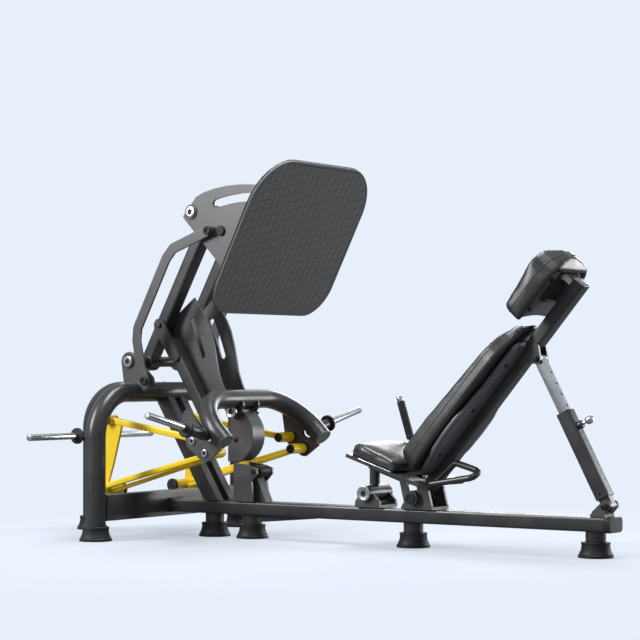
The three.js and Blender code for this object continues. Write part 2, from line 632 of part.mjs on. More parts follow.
// ---------------------------------------------------------------- backrest
// A point of the side view, given along the back post from its pivot and forward from its middle.
function onBack(along, forward) {
  return [BACK_PIVOT[0] + BACK_DIR.x * along - BACK_DIR.y * forward,
    BACK_PIVOT[1] + BACK_DIR.y * along + BACK_DIR.x * forward];
}

// The outline of a pad seen from its face, [half width, along] from its foot to its crown.
function faceBlock(halfOutline, point, depth) {
  const [x, z] = point(0, 0);
  const [ax, az] = point(1, 0);
  const [fx, fz] = point(0, 1);
  const mirrored = halfOutline.map(([y, along]) => [-y, along]).reverse();
  const shape = new THREE.Shape([...halfOutline, ...mirrored].map((p) => new THREE.Vector2(...p)));
  const geometry = new THREE.ExtrudeGeometry(shape, { depth: depth[1] - depth[0], bevelEnabled: false });
  geometry.translate(0, 0, depth[0]);
  const across = new THREE.Vector3(0, 1, 0);
  const up = new THREE.Vector3(ax - x, 0, az - z);
  const out = new THREE.Vector3(fx - x, 0, fz - z);
  const handed = new THREE.Vector3().crossVectors(across, up).dot(out);
  const basis = new THREE.Matrix4().makeBasis(handed > 0 ? across : across.negate(), up, out);
  return geometry.applyMatrix4(basis).translate(x, 0, z);
}

function backPlate(outline, y0, y1) {
  return sidePlate(outline.map((p) => onBack(...p)), y0, y1);
}

function addBackrest() {
  const post = sideBar(onBack(0, 0), onBack(1055, 0), 50, -30, 30, 7);
  const boss = crossRod(BACK_PIVOT, -34, 34, 30, 20);
  const bore = crossRod(BACK_PIVOT, -80, 80, 14.5);
  const clevis = [[-34, -23], [23, 34]].map((layers) => sidePlate(
    beltOutline([[...STRUT_TOP, 20], [...onBack(700, -15), 12], [...onBack(770, -15), 12]].reverse()),
    ...layers));
  const pin = crossRod(STRUT_TOP, -38, 38, 8);
  const headArm = backPlate([[948, 20], [1028, 20], [1028, 62], [948, 62]], -32, 32);
  const headFace = backPlate([[920, 52], [1052, 52], [1052, 62], [920, 62]], -60, 60);
  add("backrest_post", join(cut(join(post, boss), bore), ...clevis, pin, headArm, headFace), "frame");

  const cover = backPlate([[112, 10], [740, 10], [752, 38], [100, 38]], -142, 142);
  const channel = backPlate([[60, 0], [800, 0], [800, 25.6], [60, 25.6]], -31, 31);
  const coverFace = faceBlock([[96, 98], [118, 182], [138, 240], [145, 310], [143, 370], [120, 450],
    [104, 540], [99, 640], [88, 720], [60, 753]], onBack, [0, 60]);
  add("backrest_cover", common(cut(cover, channel), coverFace), "cover");

  const pad = backPlate([[98, 38.4], [822, 38.4], [822, 56], [790, 78], [730, 92], [292, 122],
    [128, 122], [104, 100], [94, 60]], -150, 150);
  const padFace = faceBlock([[104, 94], [136, 104], [150, 136], [150, 640], [144, 676], [128, 712],
    [102, 752], [70, 786], [36, 808], [12, 816]], onBack, [0, 160]);
  add("backrest_pad", common(pad, padFace), "leather");

  const head = backPlate([[826, 62.3], [1072, 62.3], [1106, 84], [1108, 124], [1080, 152], [1030, 156],
    [836, 134], [820, 112], [818, 74]], -146, 146);
  const headBlock = faceBlock([[20, 852], [80, 842], [120, 826], [136, 822], [146, 838],
    [146, 1020], [136, 1050], [112, 1078], [76, 1096], [30, 1106]], onBack, [0, 200]);
  add("headrest_pad", common(head, headBlock), "leather");
}

function addStrut() {
  const base = new THREE.Vector2(...STRUT_BASE);
  const top = new THREE.Vector2(...STRUT_TOP);
  const along = base.clone().sub(top).normalize();
  const at = (distance, side = 0) => [top.x + along.x * distance - along.y * side,
    top.y + along.y * distance + along.x * side];
  const length = base.distanceTo(top);

  const holes = Array.from({ length: 6 }, (_, i) => 66 + 45 * i);
  const drilled = holes.map((s) => {
    const [ax, az] = at(s, 40);
    const [bx, bz] = at(s, -40);
    return rod([ax, 0, az], [bx, 0, bz], 6.5, 8);
  });
  const innerBar = sideBar(at(0), at(440), 38, -19, 19, 6);
  const eye = crossRod(STRUT_TOP, -19, 19, 19);
  const eyeBore = crossRod(STRUT_TOP, -40, 40, 10);
  add("strut_inner", cut(join(innerBar, eye), ...drilled, eyeBore), "chrome");

  const outerBar = sideBar(at(222), at(length - 34), 56, -28, 28, 9);
  const channel = sideBar(at(150), at(length - 44), 40, -20, 20, 6);
  const foot = sideBar(at(length - 60), at(length), 44, -20, 20, 6);
  const footEye = crossRod(STRUT_BASE, -20, 20, 22);
  const footBore = crossRod(STRUT_BASE, -40, 40, 10.5);
  const pinAt = 66 + 45 * 5;
  const socketEnds = [at(pinAt, 24), at(pinAt, 44)];
  const socket = rod([socketEnds[0][0], 0, socketEnds[0][1]], [socketEnds[1][0], 0, socketEnds[1][1]], 15);
  const pinEnds = [at(pinAt, 10), at(pinAt, 60)];
  const pinHole = rod([pinEnds[0][0], 0, pinEnds[0][1]], [pinEnds[1][0], 0, pinEnds[1][1]], 6.5);
  const drain = rod([...[at(length - 50)[0]], -40, at(length - 50)[1]],
    [...[at(length - 50)[0]], 40, at(length - 50)[1]], 4, 12);
  add("strut_outer", cut(join(cut(outerBar, channel), foot, footEye, socket), footBore, pinHole, drain),
    "frame");

  const shaftEnds = [at(pinAt, 20.5), at(pinAt, 70)];
  const knobEnds = [at(pinAt, 62), at(pinAt, 92)];
  const shaft = rod([shaftEnds[0][0], 0, shaftEnds[0][1]], [shaftEnds[1][0], 0, shaftEnds[1][1]], 6);
  const knob = rod([knobEnds[0][0], 0, knobEnds[0][1]], [knobEnds[1][0], 0, knobEnds[1][1]], 15);
  add("pull_pin", join(shaft, knob), "chrome");

  const ears = [[-34, -23], [23, 34]].map((layers) => sidePlate(
    beltOutline([[...STRUT_BASE, 24], [1560, 162, 12], [1592, 162, 12]]), ...layers));
  const plate = box([1546, 1604], [-40, 40], [BEAM.high + GAP, 160]);
  const bolt = crossRod(STRUT_BASE, -42, 42, 10);
  add("strut_bracket", join(...ears, plate, bolt), "plate");
}

// ---------------------------------------------------------------- assembly
addBase();
addArches();
addPortalBrackets();
addPressArm();
addControlLinks();
addFootplate();
addCarrier();
addLiftRods();
addWeightArm();
addYellowFrames();
addSector();
addPedestal();
addSeat();
addSeatBracket();
addLever();
addBackrest();
addStrut();

export default machine;
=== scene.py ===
"""The looks of a plate-loaded leg press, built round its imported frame. Metres, +Z up."""
import json
import math

import bmesh
import bpy
from mathutils import Matrix, Vector
from mathutils.bvhtree import BVHTree


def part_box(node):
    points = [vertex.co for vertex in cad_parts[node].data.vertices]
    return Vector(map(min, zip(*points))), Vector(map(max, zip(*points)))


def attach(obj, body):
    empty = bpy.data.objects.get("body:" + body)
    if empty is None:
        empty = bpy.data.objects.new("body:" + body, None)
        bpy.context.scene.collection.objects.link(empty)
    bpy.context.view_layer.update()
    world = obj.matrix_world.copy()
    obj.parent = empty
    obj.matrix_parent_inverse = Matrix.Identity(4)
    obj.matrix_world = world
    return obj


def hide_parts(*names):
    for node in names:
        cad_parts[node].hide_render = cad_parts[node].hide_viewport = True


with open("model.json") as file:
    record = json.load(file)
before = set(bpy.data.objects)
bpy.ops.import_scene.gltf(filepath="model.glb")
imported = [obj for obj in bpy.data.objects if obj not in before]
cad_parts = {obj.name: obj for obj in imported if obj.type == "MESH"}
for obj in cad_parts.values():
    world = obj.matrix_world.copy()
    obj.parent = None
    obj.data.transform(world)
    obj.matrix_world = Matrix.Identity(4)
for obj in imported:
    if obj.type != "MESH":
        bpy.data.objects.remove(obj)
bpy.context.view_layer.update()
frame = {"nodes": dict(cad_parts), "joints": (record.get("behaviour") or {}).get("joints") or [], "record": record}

MM = 0.001
SIDES = {"left": -1, "right": 1}
NODES = frame["nodes"]
RECORD = frame["record"]
SLOT = {part["node"]: part["material_slot"] for part in RECORD["subparts"]}
BODY = {node: body for body, nodes in RECORD["behaviour"]["bodies"].items() for node in nodes}
PIVOT = {joint["name"]: Vector(joint["pos_m"]) for joint in frame["joints"] if "pos_m" in joint}

CENTRE_X = 357                   # millimetres from the pedestal foot to the middle of the length
ARM = PIVOT["press_stroke"]
LINK = PIVOT["control_link_swing"]
CARRIER = PIVOT["footplate_hinge"]
LINK_TOP = CARRIER + LINK - ARM
KNEE = PIVOT["lift_rod_hinge"]
WEIGHT = PIVOT["weight_arm_hinge"]
BACK = PIVOT["backrest_recline"]
STRUT_BASE = PIVOT["strut_swing"]
LEVER = PIVOT["lever_swing"]


def place(x, y, z):
    """A point given in millimetres, with x measured from the pedestal foot."""
    return Vector((x - CENTRE_X, y, z)) * MM


STRUT_TOP = place(1320, 0, 721)
HUB_UPPER = place(-40, 0, 400)
HUB_LOWER = place(22, 0, 354)
FRAME_TOP = place(-515, 0, 476)
SECTOR_HUB = place(-50, 0, 512)
ROLLER = place(592, 0, 204)
BUMPER = place(46, 0, 272)
ACROSS = Vector((0, 1, 0))


# ---------------------------------------------------------------- materials
def shader(name):
    material = bpy.data.materials.new(name)
    material.use_nodes = True
    return material, material.node_tree, material.node_tree.nodes["Principled BSDF"]


def texture(tree, kind, scale, stretch=(1, 1, 1), **settings):
    """A texture node on the piece's own coordinates, in metres."""
    where = tree.nodes.new("ShaderNodeTexCoord")
    mapping = tree.nodes.new("ShaderNodeMapping")
    mapping.inputs["Scale"].default_value = stretch
    node = tree.nodes.new(kind)
    node.inputs["Scale"].default_value = scale
    for key, value in settings.items():
        node.inputs[key].default_value = value
    tree.links.new(where.outputs["Object"], mapping.inputs["Vector"])
    tree.links.new(mapping.outputs["Vector"], node.inputs["Vector"])
    return node


def spread(tree, source, low, high, start=0.3, stop=0.7):
    """Maps a texture's value to the range from low to high."""
    node = tree.nodes.new("ShaderNodeMapRange")
    for key, value in (("From Min", start), ("From Max", stop), ("To Min", low), ("To Max", high)):
        node.inputs[key].default_value = value
    tree.links.new(source, node.inputs["Value"])
    return node.outputs["Result"]


def ramp(tree, source, *stops):
    node = tree.nodes.new("ShaderNodeValToRGB")
    while len(node.color_ramp.elements) < len(stops):
        node.color_ramp.elements.new(0.5)
    for element, (position, color) in zip(node.color_ramp.elements, stops):
        element.position = position
        element.color = (*color, 1)
    tree.links.new(source, node.inputs["Fac"])
    return node.outputs["Color"]


def bump(tree, shader_node, *layers):
    """Stacks bump layers, each given as (height, strength, depth in metres)."""
    below = None
    for height, strength, depth in layers:
        node = tree.nodes.new("ShaderNodeBump")
        node.inputs["Strength"].default_value = strength
        node.inputs["Distance"].default_value = depth
        tree.links.new(height, node.inputs["Height"])
        if below is not None:
            tree.links.new(below, node.inputs["Normal"])
        below = node.outputs["Normal"]
    tree.links.new(below, shader_node.inputs["Normal"])


def paint(name, dark, light, metallic, roughness):
    """Powder coat: fine metallic grain, faint orange peel, and slow changes in gloss."""
    material, tree, node = shader(name)
    grain = texture(tree, "ShaderNodeTexNoise", 1400, Detail=2, Roughness=0.6)
    cloud = texture(tree, "ShaderNodeTexNoise", 9, Detail=4, Roughness=0.55)
    peel = texture(tree, "ShaderNodeTexNoise", 420, Detail=1)
    mixed = tree.nodes.new("ShaderNodeMix")
    mixed.inputs["Factor"].default_value = 0.35
    tree.links.new(grain.outputs["Fac"], mixed.inputs["A"])
    tree.links.new(cloud.outputs["Fac"], mixed.inputs["B"])
    color = ramp(tree, mixed.outputs["Result"], (0.38, dark), (0.62, light))
    tree.links.new(color, node.inputs["Base Color"])
    gloss = spread(tree, cloud.outputs["Fac"], roughness - 0.05, roughness + 0.07)
    tree.links.new(gloss, node.inputs["Roughness"])
    node.inputs["Metallic"].default_value = metallic
    node.inputs["Coat Weight"].default_value = 0.25
    node.inputs["Coat Roughness"].default_value = 0.3
    bump(tree, node, (peel.outputs["Fac"], 0.12, 0.0003), (grain.outputs["Fac"], 0.1, 0.0001))
    return material


def chrome():
    """Bright plate with fine lengthwise handling marks."""
    material, tree, node = shader("chrome")
    marks = texture(tree, "ShaderNodeTexNoise", 60, (1, 14, 6), Detail=5, Roughness=0.7)
    haze = texture(tree, "ShaderNodeTexNoise", 12, Detail=3)
    color = ramp(tree, haze.outputs["Fac"], (0.3, (0.70, 0.71, 0.72)), (0.7, (0.86, 0.86, 0.85)))
    tree.links.new(color, node.inputs["Base Color"])
    tree.links.new(spread(tree, marks.outputs["Fac"], 0.1, 0.26), node.inputs["Roughness"])
    node.inputs["Metallic"].default_value = 1
    bump(tree, node, (marks.outputs["Fac"], 0.08, 0.0002))
    return material


def rubber(name, dark, light, roughness, pebble):
    """Moulded rubber with a fine pebble and dusty patches."""
    material, tree, node = shader(name)
    dust = texture(tree, "ShaderNodeTexNoise", 22, Detail=5, Roughness=0.65)
    fine = texture(tree, "ShaderNodeTexVoronoi", pebble)
    color = ramp(tree, dust.outputs["Fac"], (0.35, dark), (0.7, light))
    tree.links.new(color, node.inputs["Base Color"])
    gloss = spread(tree, dust.outputs["Fac"], roughness - 0.06, roughness + 0.1)
    tree.links.new(gloss, node.inputs["Roughness"])
    node.inputs["Specular IOR Level"].default_value = 0.35
    bump(tree, node, (fine.outputs["Distance"], 0.2, 0.0004))
    return material


def tread():
    """The footplate's rubber, with the moulded grooves darkened as painted shade."""
    material, tree, node = shader("tread_rubber")
    dust = texture(tree, "ShaderNodeTexNoise", 16, Detail=5, Roughness=0.65)
    fine = texture(tree, "ShaderNodeTexVoronoi", 640)
    face = ramp(tree, dust.outputs["Fac"], (0.3, (0.125, 0.125, 0.126)), (0.7, (0.155, 0.155, 0.156)))
    painted_groove_shade = tree.nodes.new("ShaderNodeAttribute")
    painted_groove_shade.attribute_name = "painted_groove_shade"
    mixed = tree.nodes.new("ShaderNodeMix")
    mixed.data_type = "RGBA"
    # painted shade: the darker colour in the grooves stands in for the shade inside them
    mixed.inputs["B"].default_value = (0.075, 0.075, 0.076, 1)
    tree.links.new(painted_groove_shade.outputs["Fac"], mixed.inputs["Factor"])
    tree.links.new(face, mixed.inputs["A"])
    tree.links.new(mixed.outputs["Result"], node.inputs["Base Color"])
    tree.links.new(spread(tree, dust.outputs["Fac"], 0.55, 0.72), node.inputs["Roughness"])
    node.inputs["Specular IOR Level"].default_value = 0.3
    bump(tree, node, (fine.outputs["Distance"], 0.18, 0.0004))
    return material


def leather():
    """Semi-gloss synthetic leather: small closed grain, soft creases, worn gloss."""
    material, tree, node = shader("upholstery")
    cells = texture(tree, "ShaderNodeTexVoronoi", 560, Randomness=1.0)
    crease = texture(tree, "ShaderNodeTexNoise", 38, Detail=6, Roughness=0.6)
    wear = texture(tree, "ShaderNodeTexNoise", 7, Detail=3)
    color = ramp(tree, wear.outputs["Fac"], (0.3, (0.018, 0.018, 0.0188)), (0.7, (0.034, 0.034, 0.035)))
    tree.links.new(color, node.inputs["Base Color"])
    tree.links.new(spread(tree, wear.outputs["Fac"], 0.24, 0.4), node.inputs["Roughness"])
    node.inputs["Coat Weight"].default_value = 0.1
    node.inputs["Coat Roughness"].default_value = 0.25
    bump(tree, node, (crease.outputs["Fac"], 0.18, 0.0012), (cells.outputs["Distance"], 0.22, 0.0003))
    return material


def thread():
    """Twisted sewing thread for the seams."""
    material, tree, node = shader("seam_thread")
    twist = texture(tree, "ShaderNodeTexWave", 260, Distortion=1.5)
    color = ramp(tree, twist.outputs["Fac"], (0.2, (0.02, 0.02, 0.022)), (0.8, (0.07, 0.07, 0.075)))
    tree.links.new(color, node.inputs["Base Color"])
    node.inputs["Roughness"].default_value = 0.55
    bump(tree, node, (twist.outputs["Fac"], 0.3, 0.0003))
    return material


FINISH = {
    "frame_paint": paint("frame_paint", (0.034, 0.034, 0.035), (0.062, 0.062, 0.063), 0.35, 0.33),
    "plate_paint": paint("plate_paint", (0.062, 0.062, 0.063), (0.098, 0.098, 0.099), 0.3, 0.4),
    "yellow_paint": paint("yellow_paint", (0.92, 0.60, 0.004), (1.0, 0.74, 0.012), 0.0, 0.34),
    "chrome": chrome(),
    "black_rubber": rubber("black_rubber", (0.010, 0.010, 0.011), (0.024, 0.024, 0.025), 0.5, 900),
    "tread_rubber": tread(),
    "upholstery": leather(),
    "back_cover": paint("back_cover", (0.10, 0.102, 0.105), (0.15, 0.152, 0.155), 0.0, 0.4),
}
THREAD = thread()


# ---------------------------------------------------------------- making pieces
def new_object(name, verts, faces):
    mesh = bpy.data.meshes.new(name)
    mesh.from_pydata([tuple(v) for v in verts], [], faces)
    piece = bpy.data.objects.new(name, mesh)
    bpy.context.scene.collection.objects.link(piece)
    return piece


def tidy(piece, join=1e-6):
    """Merges double points and turns every face outwards."""
    shape = bmesh.new()
    shape.from_mesh(piece.data)
    bmesh.ops.remove_doubles(shape, verts=shape.verts, dist=join)
    bmesh.ops.recalc_face_normals(shape, faces=shape.faces)
    shape.to_mesh(piece.data)
    shape.free()


def dress(piece, slot, body, *replaced, sharp=32):
    """Gives a piece its finish and shading, says what it moves with, and hides the CAD parts it stands for."""
    if not piece.data.materials:
        piece.data.materials.append(FINISH[slot])
    for face in piece.data.polygons:
        face.use_smooth = True
    piece.data.set_sharp_from_angle(angle=math.radians(sharp))
    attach(piece, body)
    if replaced:
        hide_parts(*replaced)
    return piece


def loft(name, rings):
    """A closed skin through rings of points, flat at both ends."""
    count = len(rings[0])
    faces = []
    for i in range(len(rings) - 1):
        for k in range(count):
            a, b = i * count + k, i * count + (k + 1) % count
            faces.append((a, b, b + count, a + count))
    last = (len(rings) - 1) * count
    faces.append(tuple(reversed(range(count))))
    faces.append(tuple(range(last, last + count)))
    piece = new_object(name, [p for ring in rings for p in ring], faces)
    tidy(piece)
    return piece


def perpendicular(axis):
    other = Vector((0, 0, 1)) if abs(axis.z) < 0.9 else Vector((1, 0, 0))
    return axis.cross(other).normalized()


def turned(name, profile, origin, axis, segments=48):
    """A turned piece: (radius, height) steps in millimetres along an axis."""
    axis = Vector(axis).normalized()
    u = perpendicular(axis)
    v = axis.cross(u)
    rings = []
    for radius, height in profile:
        centre = origin + axis * height * MM
        angles = [2 * math.pi * k / segments for k in range(segments)]
        rings.append([centre + (u * math.cos(t) + v * math.sin(t)) * radius * MM for t in angles])
    return loft(name, rings)


def rounded_rod(radius, length, edge=2.0):
    """The profile of a rod with softened ends."""
    soft = edge * 0.3
    return [(radius - edge, 0), (radius - soft, soft), (radius, edge), (radius, length - edge),
            (radius - soft, length - soft), (radius - edge, length)]


def bent_path(corners, bend, steps=14):
    """The corner points become arcs, as on a bent tube."""
    points = [corners[0]]
    for before, corner, after in zip(corners, corners[1:], corners[2:]):
        back = (before - corner).normalized()
        ahead = (after - corner).normalized()
        half = back.angle(ahead) / 2
        centre = corner + (back + ahead).normalized() * bend * MM / math.sin(half)
        start = corner + back * bend * MM / math.tan(half) - centre
        end = corner + ahead * bend * MM / math.tan(half) - centre
        sweep = start.angle(end)
        for k in range(steps + 1):
            a = math.sin(sweep * (1 - k / steps)) / math.sin(sweep)
            b = math.sin(sweep * k / steps) / math.sin(sweep)
            points.append(centre + start * a + end * b)
    points.append(corners[-1])
    return points


def swept(name, points, radius, sides=40):
    """A round tube along a path."""
    tangents = []
    for i in range(len(points)):
        a = points[max(i - 1, 0)]
        b = points[min(i + 1, len(points) - 1)]
        tangents.append((b - a).normalized())
    u = perpendicular(tangents[0])
    rings = []
    for i, point in enumerate(points):
        if i:
            u = tangents[i - 1].rotation_difference(tangents[i]) @ u
        u = (u - tangents[i] * u.dot(tangents[i])).normalized()
        v = tangents[i].cross(u)
        angles = [2 * math.pi * k / sides for k in range(sides)]
        rings.append([point + (u * math.cos(t) + v * math.sin(t)) * radius * MM for t in angles])
    return loft(name, rings)


def refined(node, edge=1.4, segments=2, sharp=32):
    """A copy of a CAD part with merged points and softened edges, in the part's own place."""
    source = NODES[node].data
    piece = new_object(node + "_fine", [v.co for v in source.vertices],
                       [tuple(p.vertices) for p in source.polygons])
    shape = bmesh.new()
    shape.from_mesh(piece.data)
    bmesh.ops.remove_doubles(shape, verts=shape.verts, dist=2e-6)
    flat = math.radians(0.6)
    bmesh.ops.dissolve_limit(shape, angle_limit=flat, verts=shape.verts, edges=shape.edges)
    limit = math.radians(sharp)
    edges = [e for e in shape.edges if len(e.link_faces) == 2 and e.calc_face_angle(0) > limit]
    bmesh.ops.bevel(shape, geom=edges, offset=edge * MM, segments=segments, profile=0.6,
                    affect="EDGES", clamp_overlap=True, harden_normals=False)
    bmesh.ops.triangulate(shape, faces=[f for f in shape.faces if len(f.verts) > 4])
    shape.to_mesh(piece.data)
    shape.free()
    dress(piece, SLOT[node], BODY[node], node)
    weighted = piece.modifiers.new("weighted", "WEIGHTED_NORMAL")
    weighted.keep_sharp = True
    return piece


# ---------------------------------------------------------------- fasteners
def socket_bolt(name, centre, axis, radius, height, slot, body, socket=0.42):
    """A round bolt head with a softened rim and a hexagon socket darkened inside as painted shade."""
    axis = Vector(axis).normalized()
    u = perpendicular(axis)
    v = axis.cross(u)
    count = 48
    hexagon = radius * socket

    def ring(reach, level, six=False):
        points = []
        for k in range(count):
            angle = 2 * math.pi * k / count
            size = reach / math.cos((angle + math.pi / 6) % (math.pi / 3) - math.pi / 6) if six else reach
            around = u * math.cos(angle) + v * math.sin(angle)
            points.append(centre + axis * level * MM + around * size * MM)
        return points

    edge = min(2.0, height * 0.35)
    rings = [ring(radius, 0), ring(radius, height - edge), ring(radius - edge * 0.3, height - edge * 0.3),
             ring(radius - edge, height), ring(radius * 0.72, height), ring(radius * 0.68, height - 0.6),
             ring(hexagon + 1, height - 0.6, True), ring(hexagon, height - 1.4, True),
             ring(hexagon, height * 0.3, True)]
    piece = loft(name, rings)
    piece.data.materials.append(FINISH[slot])
    piece.data.materials.append(FINISH["black_rubber"])
    deep = height * 0.9 * MM - 1.4 * MM
    # painted shade: the faces inside the hexagon socket take the black finish, standing in for the shade in the
    # recess
    for face in piece.data.polygons:
        offset = face.center - centre
        level = offset.dot(axis)
        reach = (offset - axis * level).length
        if reach < hexagon * 1.2 * MM and 0.1 * MM < level <= max(deep, height * 0.31 * MM):
            face.material_index = 1
    return dress(piece, slot, body)


def cap_screw(name, centre, axis, radius, height, body):
    """A small dark dome-headed screw."""
    profile = [(radius, 0), (radius, height * 0.4), (radius * 0.9, height * 0.75),
               (radius * 0.62, height), (radius * 0.4, height), (radius * 0.36, height * 0.5)]
    return dress(turned(name, profile, centre, axis, 24), "black_rubber", body)


def offset_y(point, y):
    return Vector((point.x, y * MM, point.z))


# ---------------------------------------------------------------- frame tubes
def weld(name, centre, axis, radius, body, slot="frame_paint"):
    """A rippled weld bead round a joint between two tubes."""
    axis = Vector(axis).normalized()
    u = perpendicular(axis)
    v = axis.cross(u)
    ripples, sides = 72, 8
    verts, faces = [], []
    for k in range(ripples):
        angle = 2 * math.pi * k / ripples
        out = u * math.cos(angle) + v * math.sin(angle)
        bead = 2.6 + (0.5 if k % 2 else 0)
        for j in range(sides):
            turn = 2 * math.pi * j / sides
            reach = radius + bead * math.cos(turn)
            verts.append(centre + out * reach * MM + axis * bead * math.sin(turn) * MM)
            nxt, side = (k + 1) % ripples, (j + 1) % sides
            faces.append((k * sides + j, nxt * sides + j, nxt * sides + side, k * sides + side))
    piece = new_object(name, verts, faces)
    tidy(piece)
    return dress(piece, slot, body, sharp=60)


PORTAL_X, PORTAL_HALF, ARCH_TOP, ARCH_RADIUS = -424, 474, 590, 40
REAR_X = -853
FOOT_TOP = 57


def build_arches():
    low = FOOT_TOP + 0.3
    corners = [place(PORTAL_X, -PORTAL_HALF, low), place(PORTAL_X, -PORTAL_HALF, ARCH_TOP),
               place(PORTAL_X, PORTAL_HALF, ARCH_TOP), place(PORTAL_X, PORTAL_HALF, low)]
    arch = swept("portal_arch_tube", bent_path(corners, 185, 18), ARCH_RADIUS, 48)
    dress(arch, "frame_paint", "frame", "portal_arch")
    corners = [place(REAR_X, 0, low), place(REAR_X, 0, ARCH_TOP), place(PORTAL_X - 12, 0, ARCH_TOP)]
    arch = swept("rear_arch_tube", bent_path(corners, 160, 18), ARCH_RADIUS, 48)
    dress(arch, "frame_paint", "frame", "rear_arch")
    weld("weld_rear_arch", place(PORTAL_X - ARCH_RADIUS + 7, 0, ARCH_TOP), (1, 0, 0),
         ARCH_RADIUS - 1, "frame")


def build_feet():
    profile = [(50, 0), (63.5, 0), (65, 1.5), (65, 9), (63, 11.5), (60.5, 13), (59.5, 18), (58, 20),
               (57.4, 23),
               (56, 24), (55.2, 28), (54.2, 29), (53.6, 36), (52.6, 37), (52.4, 48), (53.6, 49.5),
               (53.6, 54.5), (51.5, 57), (30, 57)]
    for node in [n for n in NODES if n.startswith("foot_")and n != "foot_plate"]:
        low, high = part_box(node)
        centre = Vector(((low.x + high.x) / 2, (low.y + high.y) / 2, 0))
        dress(turned(node + "_ring", profile, centre, (0, 0, 1)), "black_rubber", "frame", node)


def build_shafts():
    for node, pivot in (("press_pivot_shaft", ARM), ("carrier_shaft", CARRIER)):
        start = offset_y(pivot, -224.7)
        rod = turned(node + "_bar", rounded_rod(21.5, 449.4, 1), start, ACROSS)
        dress(rod, "frame_paint", BODY[node], node)


# ---------------------------------------------------------------- horns
def horn(name, start, direction, length, collar, node, sleeve=None):
    """A chrome plate horn with a rounded tip and a rubber flange at its root."""
    body = BODY[node]
    tip = 6
    profile = [(14, -4), (14, length - tip), (13.2, length - tip * 0.45), (11.5, length - 1.2), (9, length)]
    dress(turned(name + "_rod", profile, start, direction), "chrome", body, node)
    flange = [(collar - 9, -1), (collar - 1.5, 0), (collar, 1.5), (collar, 10), (collar - 2, 13),
              (collar - 8, 14), (collar * 0.62, 14), (collar * 0.58, 17), (15.5, 17.5), (14.2, 16)]
    dress(turned(name + "_flange", flange, start, direction), "black_rubber", body)
    if sleeve:
        radius, back = sleeve
        tube = turned(name + "_sleeve", [(radius, -back), (radius, 0.5)], start, direction)
        dress(tube, "frame_paint", body)


def build_horns():
    for side, sign in SIDES.items():
        start = place(REAR_X, 92 * sign, 400)
        horn(f"storage_horn_{side}", start, (0, sign, 0), 308, 34, f"storage_horn_{side}", (20, 53))
        weld(f"weld_storage_horn_{side}", place(REAR_X, 39 * sign, 400), ACROSS, 20, "frame")
        base = place(40, 475 * sign, 453)
        tip = place(42, 720 * sign, 509)
        horn(f"working_horn_{side}", base, tip - base, (tip - base).length / MM, 35,
             f"working_horn_{side}")


# ---------------------------------------------------------------- weight arm
U_RADIUS, U_BEND, ARM_HALF = 38, 195, 335
CROSSBAR, ARM_END = (-50, 562), (114, 401)


def build_u_bar():
    corners = [place(ARM_END[0], -ARM_HALF, ARM_END[1]), place(CROSSBAR[0], -ARM_HALF, CROSSBAR[1]),
               place(CROSSBAR[0], ARM_HALF, CROSSBAR[1]), place(ARM_END[0], ARM_HALF, ARM_END[1])]
    bar = swept("u_bar_tube", bent_path(corners, U_BEND, 24), U_RADIUS, 48)
    dress(bar, "frame_paint", "weight_arm", "u_bar")
    down = (corners[0] - corners[1]).normalized()
    for side, sign in SIDES.items():
        end = place(ARM_END[0], ARM_HALF * sign, ARM_END[1])
        cap = [(U_RADIUS - 5, -2), (U_RADIUS + 0.4, -0.5), (U_RADIUS + 0.4, 2), (U_RADIUS - 1, 4.5),
               (U_RADIUS - 4, 5.5), (U_RADIUS - 9, 5), (U_RADIUS - 10, 4.2), (6, 4.2)]
        dress(turned(f"u_bar_cap_{side}", cap, end, down), "back_cover", "weight_arm")
        base = place(40, 475 * sign, 453)
        tip = place(42, 720 * sign, 509)
        out = (tip - base).normalized()
        root = base - out * 130 * MM
        stub = turned(f"horn_stub_{side}", [(22, 0), (22, 128.5), (20.5, 130)], root, out)
        dress(stub, "frame_paint", "weight_arm")
        weld(f"weld_horn_stub_{side}", base - out * 96 * MM, out, 22, "weight_arm")


def build_weight_arm_hardware():
    for side, sign in SIDES.items():
        out = (0, sign, 0)
        inward = (0, -sign, 0)
        for label, hub in (("upper", HUB_UPPER), ("lower", HUB_LOWER)):
            socket_bolt(f"gusset_bolt_{label}_{side}", offset_y(hub, 341 * sign), out, 15, 8,
                        "chrome", "weight_arm")
            socket_bolt(f"hub_cap_{label}_{side}", offset_y(hub, 235 * sign), inward, 18, 8, "black_rubber",
                        "weight_arm")
            ring = turned(f"hub_bush_{label}_{side}", [(22.5, 0), (23.5, 1), (23.5, 5), (22.5, 6)],
                          offset_y(hub, 322 * sign), out)
            dress(ring, "black_rubber", "weight_arm")
        cap = turned(f"frame_top_cap_{side}", [(20, 0), (20, 2), (18, 4), (10, 4.5)],
                     offset_y(FRAME_TOP, 300 * sign), out)
        dress(cap, "black_rubber", "weight_arm")
        cap = turned(f"frame_top_inner_cap_{side}", [(20, 0), (20, 2), (18, 4), (10, 4.5)],
                     offset_y(FRAME_TOP, 250 * sign), inward)
        dress(cap, "black_rubber", "weight_arm")
        cap = turned(f"pivot_hub_cap_{side}", [(26, 0), (27, 1.5), (27, 12), (25, 14), (12, 14.5)],
                     offset_y(WEIGHT, 174 * sign), inward)
        dress(cap, "black_rubber", "weight_arm")
        socket_bolt(f"pivot_bracket_nut_{side}", offset_y(WEIGHT, 368 * sign), out, 15, 8,
                    "black_rubber", "frame")
        socket_bolt(f"sector_bolt_{side}", offset_y(SECTOR_HUB, 72 * sign), out, 25, 9,
                    "chrome", "weight_arm")
        screw = place(-54, 40.5 * sign, 398)
        cap_screw(f"sector_screw_{side}", screw, out, 10, 6, "weight_arm")


